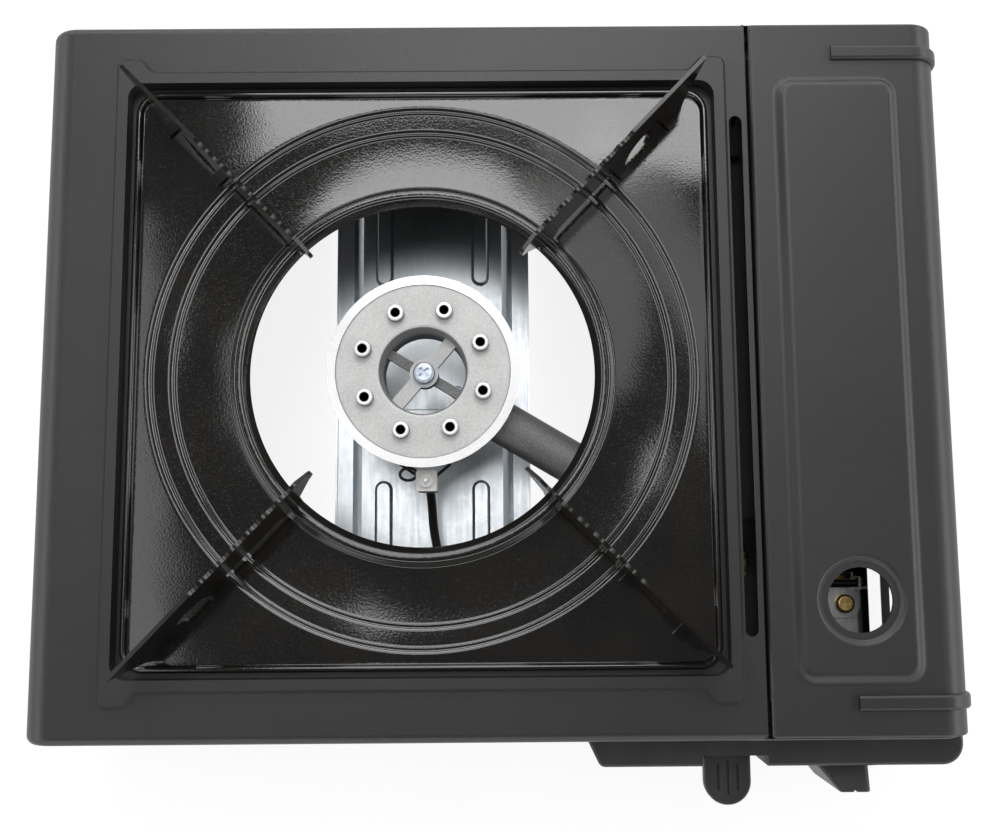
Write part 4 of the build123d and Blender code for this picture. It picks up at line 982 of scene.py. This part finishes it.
@dataclass
class Burner:
    """Ring burner, its screw and the spark block in front of it."""

    block_at: tuple[float, float] = middle("igniter_ceramic")
    block_top: float = 0.066
    loop_from_block: Point = (-0.0072, 0.0028, -0.0035)
    loop_reach: Point = (0.0034, 0.0024, 0.001)
    loop_wire: float = 0.0006
    loop_points: int = 20
    loop_sides: int = 8
    screw_turn: float = math.radians(43)
    screw_crease: float = math.radians(30)
    bowl_edge: float = 0.0002
    block_edge: float = 0.0002
    piezo_edge: float = 0.0003

    def build(self) -> None:
        """Makes the clip's loop beside the spark block and turns the screw."""
        shape = bmesh.new()
        centre = Vector((*self.block_at, self.block_top)) + Vector(self.loop_from_block)
        wide, deep, lean = self.loop_reach
        loop = []
        for step in range(self.loop_points):
            angle = 2 * math.pi * step / self.loop_points
            across, along = math.cos(angle), math.sin(angle)
            loop.append(centre + Vector((wide * across, deep * along, lean * across)))
        tube(shape, loop, self.loop_wire, self.loop_sides, closed=True)
        piece("clip_loop", shape, DARK_WIRE, Body.BASE)
        self.turn_screw()

    def turn_screw(self) -> None:
        """Makes the middle screw from its node's mesh, turned so that its cross lies as photographed."""
        shape = bmesh.new()
        shape.from_mesh(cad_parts["burner_screw"].data)
        turn = Matrix.Rotation(self.screw_turn, 3, "Z")
        bmesh.ops.rotate(shape, cent=(*middle("burner_screw"), 0.0), matrix=turn, verts=shape.verts)
        made = piece("centre_screw", shape, ZINC, Body.BASE)
        made.data.set_sharp_from_angle(angle=self.screw_crease)
        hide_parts("burner_screw")

    def dress(self) -> None:
        """Dresses the burner's nodes."""
        dress("burner_body", CAST, self.bowl_edge)
        dress("burner_cap", CAST_FACE)
        dress("igniter_ceramic", CERAMIC, self.block_edge)
        dress("igniter_electrode", ZINC)
        dress("igniter_clip", DARK_WIRE)
        dress("piezo_igniter", CREAM_PLASTIC, self.piezo_edge)


@dataclass
class IgnitionLead:
    """High-tension lead from the spark block, under the pan, to the igniter behind the panel."""

    thickness: float = 0.0036
    length: float = 0.208
    igniter_half: float = 0.006
    rings: int = 5
    spans: int = 12

    def route(self) -> list[Vector]:
        """The lead's points, as the part's source has them.

        Returns:
            Points from the spark block's foot to the igniter's.
        """
        block_low, igniter_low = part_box("igniter_ceramic")[0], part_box("piezo_igniter")[0]
        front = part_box("body_shell")[0][1]
        start = Vector((*middle("igniter_ceramic"), block_low[2]))
        end = Vector((igniter_low[0] + self.igniter_half, middle("piezo_igniter")[1], igniter_low[2]))
        return [
            start,
            start + Vector((0.0001, -0.002, -0.016)),
            start + Vector((0.0009, -0.024, -0.025)),
            start + Vector((0.0093, -0.049, -0.028)),
            Vector((start.x + 0.0413, front + 0.028, start.z - 0.031)),
            Vector((end.x - 0.048, front + 0.02, end.z - 0.017)),
            end + Vector((-0.028, 0.0022, -0.02)),
            end + Vector((-0.009, 0.0, -0.0195)),
            end + Vector((-0.001, 0.0, -0.013)),
            end,
        ]

    def build(self) -> None:
        """Lays the lead as one smooth curve along its route."""
        points = self.route()
        line = bpy.data.curves.new("ignition_cord", "CURVE")
        line.dimensions = "3D"
        line.bevel_depth = self.thickness / 2
        line.bevel_resolution = self.rings
        line.use_fill_caps = True
        spline = line.splines.new("NURBS")
        spline.points.add(len(points) - 1)
        for knot, point in zip(spline.points, points):
            knot.co = (*point, 1.0)
        spline.order_u = 3
        spline.use_endpoint_u = True
        spline.resolution_u = self.spans
        line.materials.append(RUBBER.material())
        made = bpy.data.objects.new("ignition_cord", line)
        bpy.context.scene.collection.objects.link(made)
        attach(made, Body.BASE.value)
        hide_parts("ignition_lead")
        log.info("ignition_cord: %d points", len(points))


@dataclass
class GasTrain:
    """Regulator, inlet, pipe and jet in the cartridge bay."""

    bracket_edge: float = 0.00015
    casting_edge: float = 0.0004
    brass_edge: float = 0.0003

    def dress(self) -> None:
        """Dresses the gas train's nodes."""
        dress("regulator_bracket", PLATED, self.bracket_edge)
        dress("regulator_body", DIE_CAST, self.casting_edge)
        dress("regulator_cover", PLATED)
        dress("regulator_screw", BRASS)
        dress("guide_pin", DARK_WIRE)
        dress("inlet_nipple", BRASS, self.brass_edge)
        dress("inlet_seal", RUBBER)
        dress("gas_pipe", COPPER)
        dress("injector_jet", BRASS, self.brass_edge)
        dress("valve_spindle", ZINC)


@dataclass
class Controls:
    """Front panel, knob, lock lever and the linkage behind them."""

    panel_edge: float = 0.0005
    grip_edge: float = 0.0004
    linkage_edge: float = 0.0002

    def dress(self) -> None:
        """Dresses the controls' nodes."""
        dress("front_panel", BLACK_PLASTIC, self.panel_edge)
        dress("control_knob", BLACK_PLASTIC, self.grip_edge)
        dress("lock_lever_tab", BLACK_PLASTIC, self.grip_edge)
        dress("lever_arm", PLATED, self.linkage_edge)
        dress("lever_bracket", PLATED, self.linkage_edge)
        dress("lever_pin", ZINC)
        dress("pull_rod", DARK_WIRE)
        dress("cartridge_pusher", PLATED, self.linkage_edge)


@dataclass(frozen=True)
class Lamp:
    """A soft box that faces the stove; power is in watts."""

    name: str
    at: Point
    size: tuple[float, float]
    power: float

    def hang(self, target: Point) -> None:
        """Hangs the lamp.

        Args:
            target: the point that it faces.
        """
        data = bpy.data.lights.new(self.name, "AREA")
        data.shape = "RECTANGLE"
        data.size, data.size_y = self.size
        data.energy = self.power
        made = bpy.data.objects.new(self.name, data)
        made.location = self.at
        made.rotation_euler = (Vector(target) - Vector(self.at)).to_track_quat("-Z", "Y").to_euler()
        bpy.context.scene.collection.objects.link(made)


STRIP = (2.6, 0.2)
LAMPS = (
    Lamp("softbox_rear", (0.02, 0.88, 1.45), (0.9, 0.6), 9.0),
    Lamp("softbox_top", (-0.11, 0.2, 1.5), (0.45, 0.45), 2.0),
    Lamp("softbox_left", (-0.62, -0.05, 1.45), (1.1, 0.2), 1.1),
    Lamp("softbox_right", (0.35, 0.28, 1.45), (0.8, 0.2), 0.6),
    Lamp("strip_left", (-1.5, 0.0, 0.8), STRIP, 10.0),
    Lamp("strip_right", (1.5, 0.0, 0.8), STRIP, 14.0),
    Lamp("strip_front", (0.0, -1.5, 0.8), STRIP, 7.0),
    Lamp("strip_rear", (0.0, 1.5, 0.8), STRIP, 12.0),
)


@dataclass
class Studio:
    """Pale floor, soft lights and the camera at the photograph's angle."""

    eye: Point = (-0.00034, -0.05227, 0.49333)
    tilt: float = 6.839
    lean: float = -0.121
    roll: float = -0.424
    lens: float = 39.94
    sensor: float = 36.0
    nearest: float = 0.01
    target: Point = (0.0, 0.0, 0.05)
    sky: Colour = (0.14, 0.143, 0.15)
    floor_paint: Colour = (0.8, 0.8, 0.8)
    floor_shade: Colour = (0.2, 0.2, 0.2)
    floor_glow: float = 0.86
    floor_drop: float = 0.0002
    floor_parts: int = 8
    wall_reach: float = 3.9
    wall_height: float = 2.6
    wall_parts: int = 96

    def camera(self) -> None:
        """Places the camera."""
        data = bpy.data.cameras.new("photo_camera")
        data.sensor_width = self.sensor
        data.lens = self.lens
        data.clip_start = self.nearest
        made = bpy.data.objects.new("photo_camera", data)
        made.location = self.eye
        made.rotation_euler = tuple(math.radians(angle) for angle in (self.tilt, self.lean, self.roll))
        bpy.context.scene.collection.objects.link(made)
        bpy.context.scene.camera = made

    @staticmethod
    def seen(tree: ShaderTree) -> Val:
        """Rays that see a surface rather than gather its light.

        Args:
            tree: the tree to add the nodes to.

        Returns:
            1 for camera, glossy and transmission rays, 0 for the others.
        """
        path = tree.add("ShaderNodeLightPath")
        names = ("Is Camera Ray", "Is Glossy Ray", "Is Transmission Ray")
        camera, glossy, transmitted = (Val(tree, path.outputs[name]) for name in names)
        return camera.larger(glossy).larger(transmitted)

    def floor(self) -> None:
        """Lays the pale floor and its round backdrop, which show as white; the floor keeps the shadow."""
        tree = ShaderTree(bpy.data.materials.new("pale_floor"))
        seen = self.seen(tree)
        paint = tree.add("ShaderNodeBsdfDiffuse", None, {"Color": (*self.floor_paint, 1.0)})
        thin = tree.add("ShaderNodeBsdfDiffuse", None, {"Color": (*self.floor_shade, 1.0)})
        glow = tree.add("ShaderNodeEmission", None, {"Strength": self.floor_glow})
        white = tree.add("ShaderNodeAddShader", None, {0: thin.outputs[0], 1: glow.outputs[0]})
        shown = tree.add("ShaderNodeMixShader", None, {0: seen, 1: paint.outputs[0], 2: white.outputs[0]})
        tree.add("ShaderNodeOutputMaterial", None, {"Surface": shown.outputs[0]})
        floor = bmesh.new()
        parts, reach, height = self.floor_parts, self.wall_reach, self.wall_height
        bmesh.ops.create_grid(floor, x_segments=parts, y_segments=parts, size=reach)
        self.prop("floor", floor, tree.owner)
        wall = bmesh.new()
        bmesh.ops.create_cone(wall, segments=self.wall_parts, radius1=reach, radius2=reach, depth=height)
        bmesh.ops.translate(wall, vec=(0.0, 0.0, height / 2), verts=wall.verts)
        self.prop("backdrop", wall, tree.owner)

    def prop(self, name: str, shape: bmesh.types.BMesh, paint: bpy.types.Material) -> None:
        """Sets up a piece of the studio.

        Args:
            name: its name.
            shape: its mesh, which is freed.
            paint: its material.
        """
        bmesh.ops.translate(shape, vec=(0.0, 0.0, -self.floor_drop), verts=shape.verts)
        mesh = bpy.data.meshes.new(name)
        shape.to_mesh(mesh)
        shape.free()
        mesh.materials.append(paint)
        made = bpy.data.objects.new(name, mesh)
        bpy.context.scene.collection.objects.link(made)

    def world(self) -> None:
        """Sets an even, pale grey sky."""
        sky = bpy.data.worlds.new("studio")
        bpy.context.scene.world = sky
        tree = ShaderTree(sky)
        back = tree.add("ShaderNodeBackground", None, {"Color": (*self.sky, 1.0)})
        tree.add("ShaderNodeOutputWorld", None, {"Surface": back.outputs[0]})

    def build(self) -> None:
        """Sets up floor, world, lamps and camera."""
        bpy.context.scene.view_settings.view_transform = "Standard"
        self.floor()
        self.world()
        for lamp in LAMPS:
            lamp.hang(self.target)
        self.camera()


def main() -> None:
    """Builds the stove's parts in order, then the studio."""
    logging.basicConfig(level=logging.INFO)
    case, lid, pan, blades, burner = Case(), Lid(), DripPan(), Blades(), Burner()
    lead, gas, controls, studio = IgnitionLead(), GasTrain(), Controls(), Studio()
    for made in (pan, blades, burner, lead):
        made.build()
    for group in (case, lid, blades, burner, gas, controls):
        group.dress()
    studio.build()


if __name__ == "__main__":
    main()
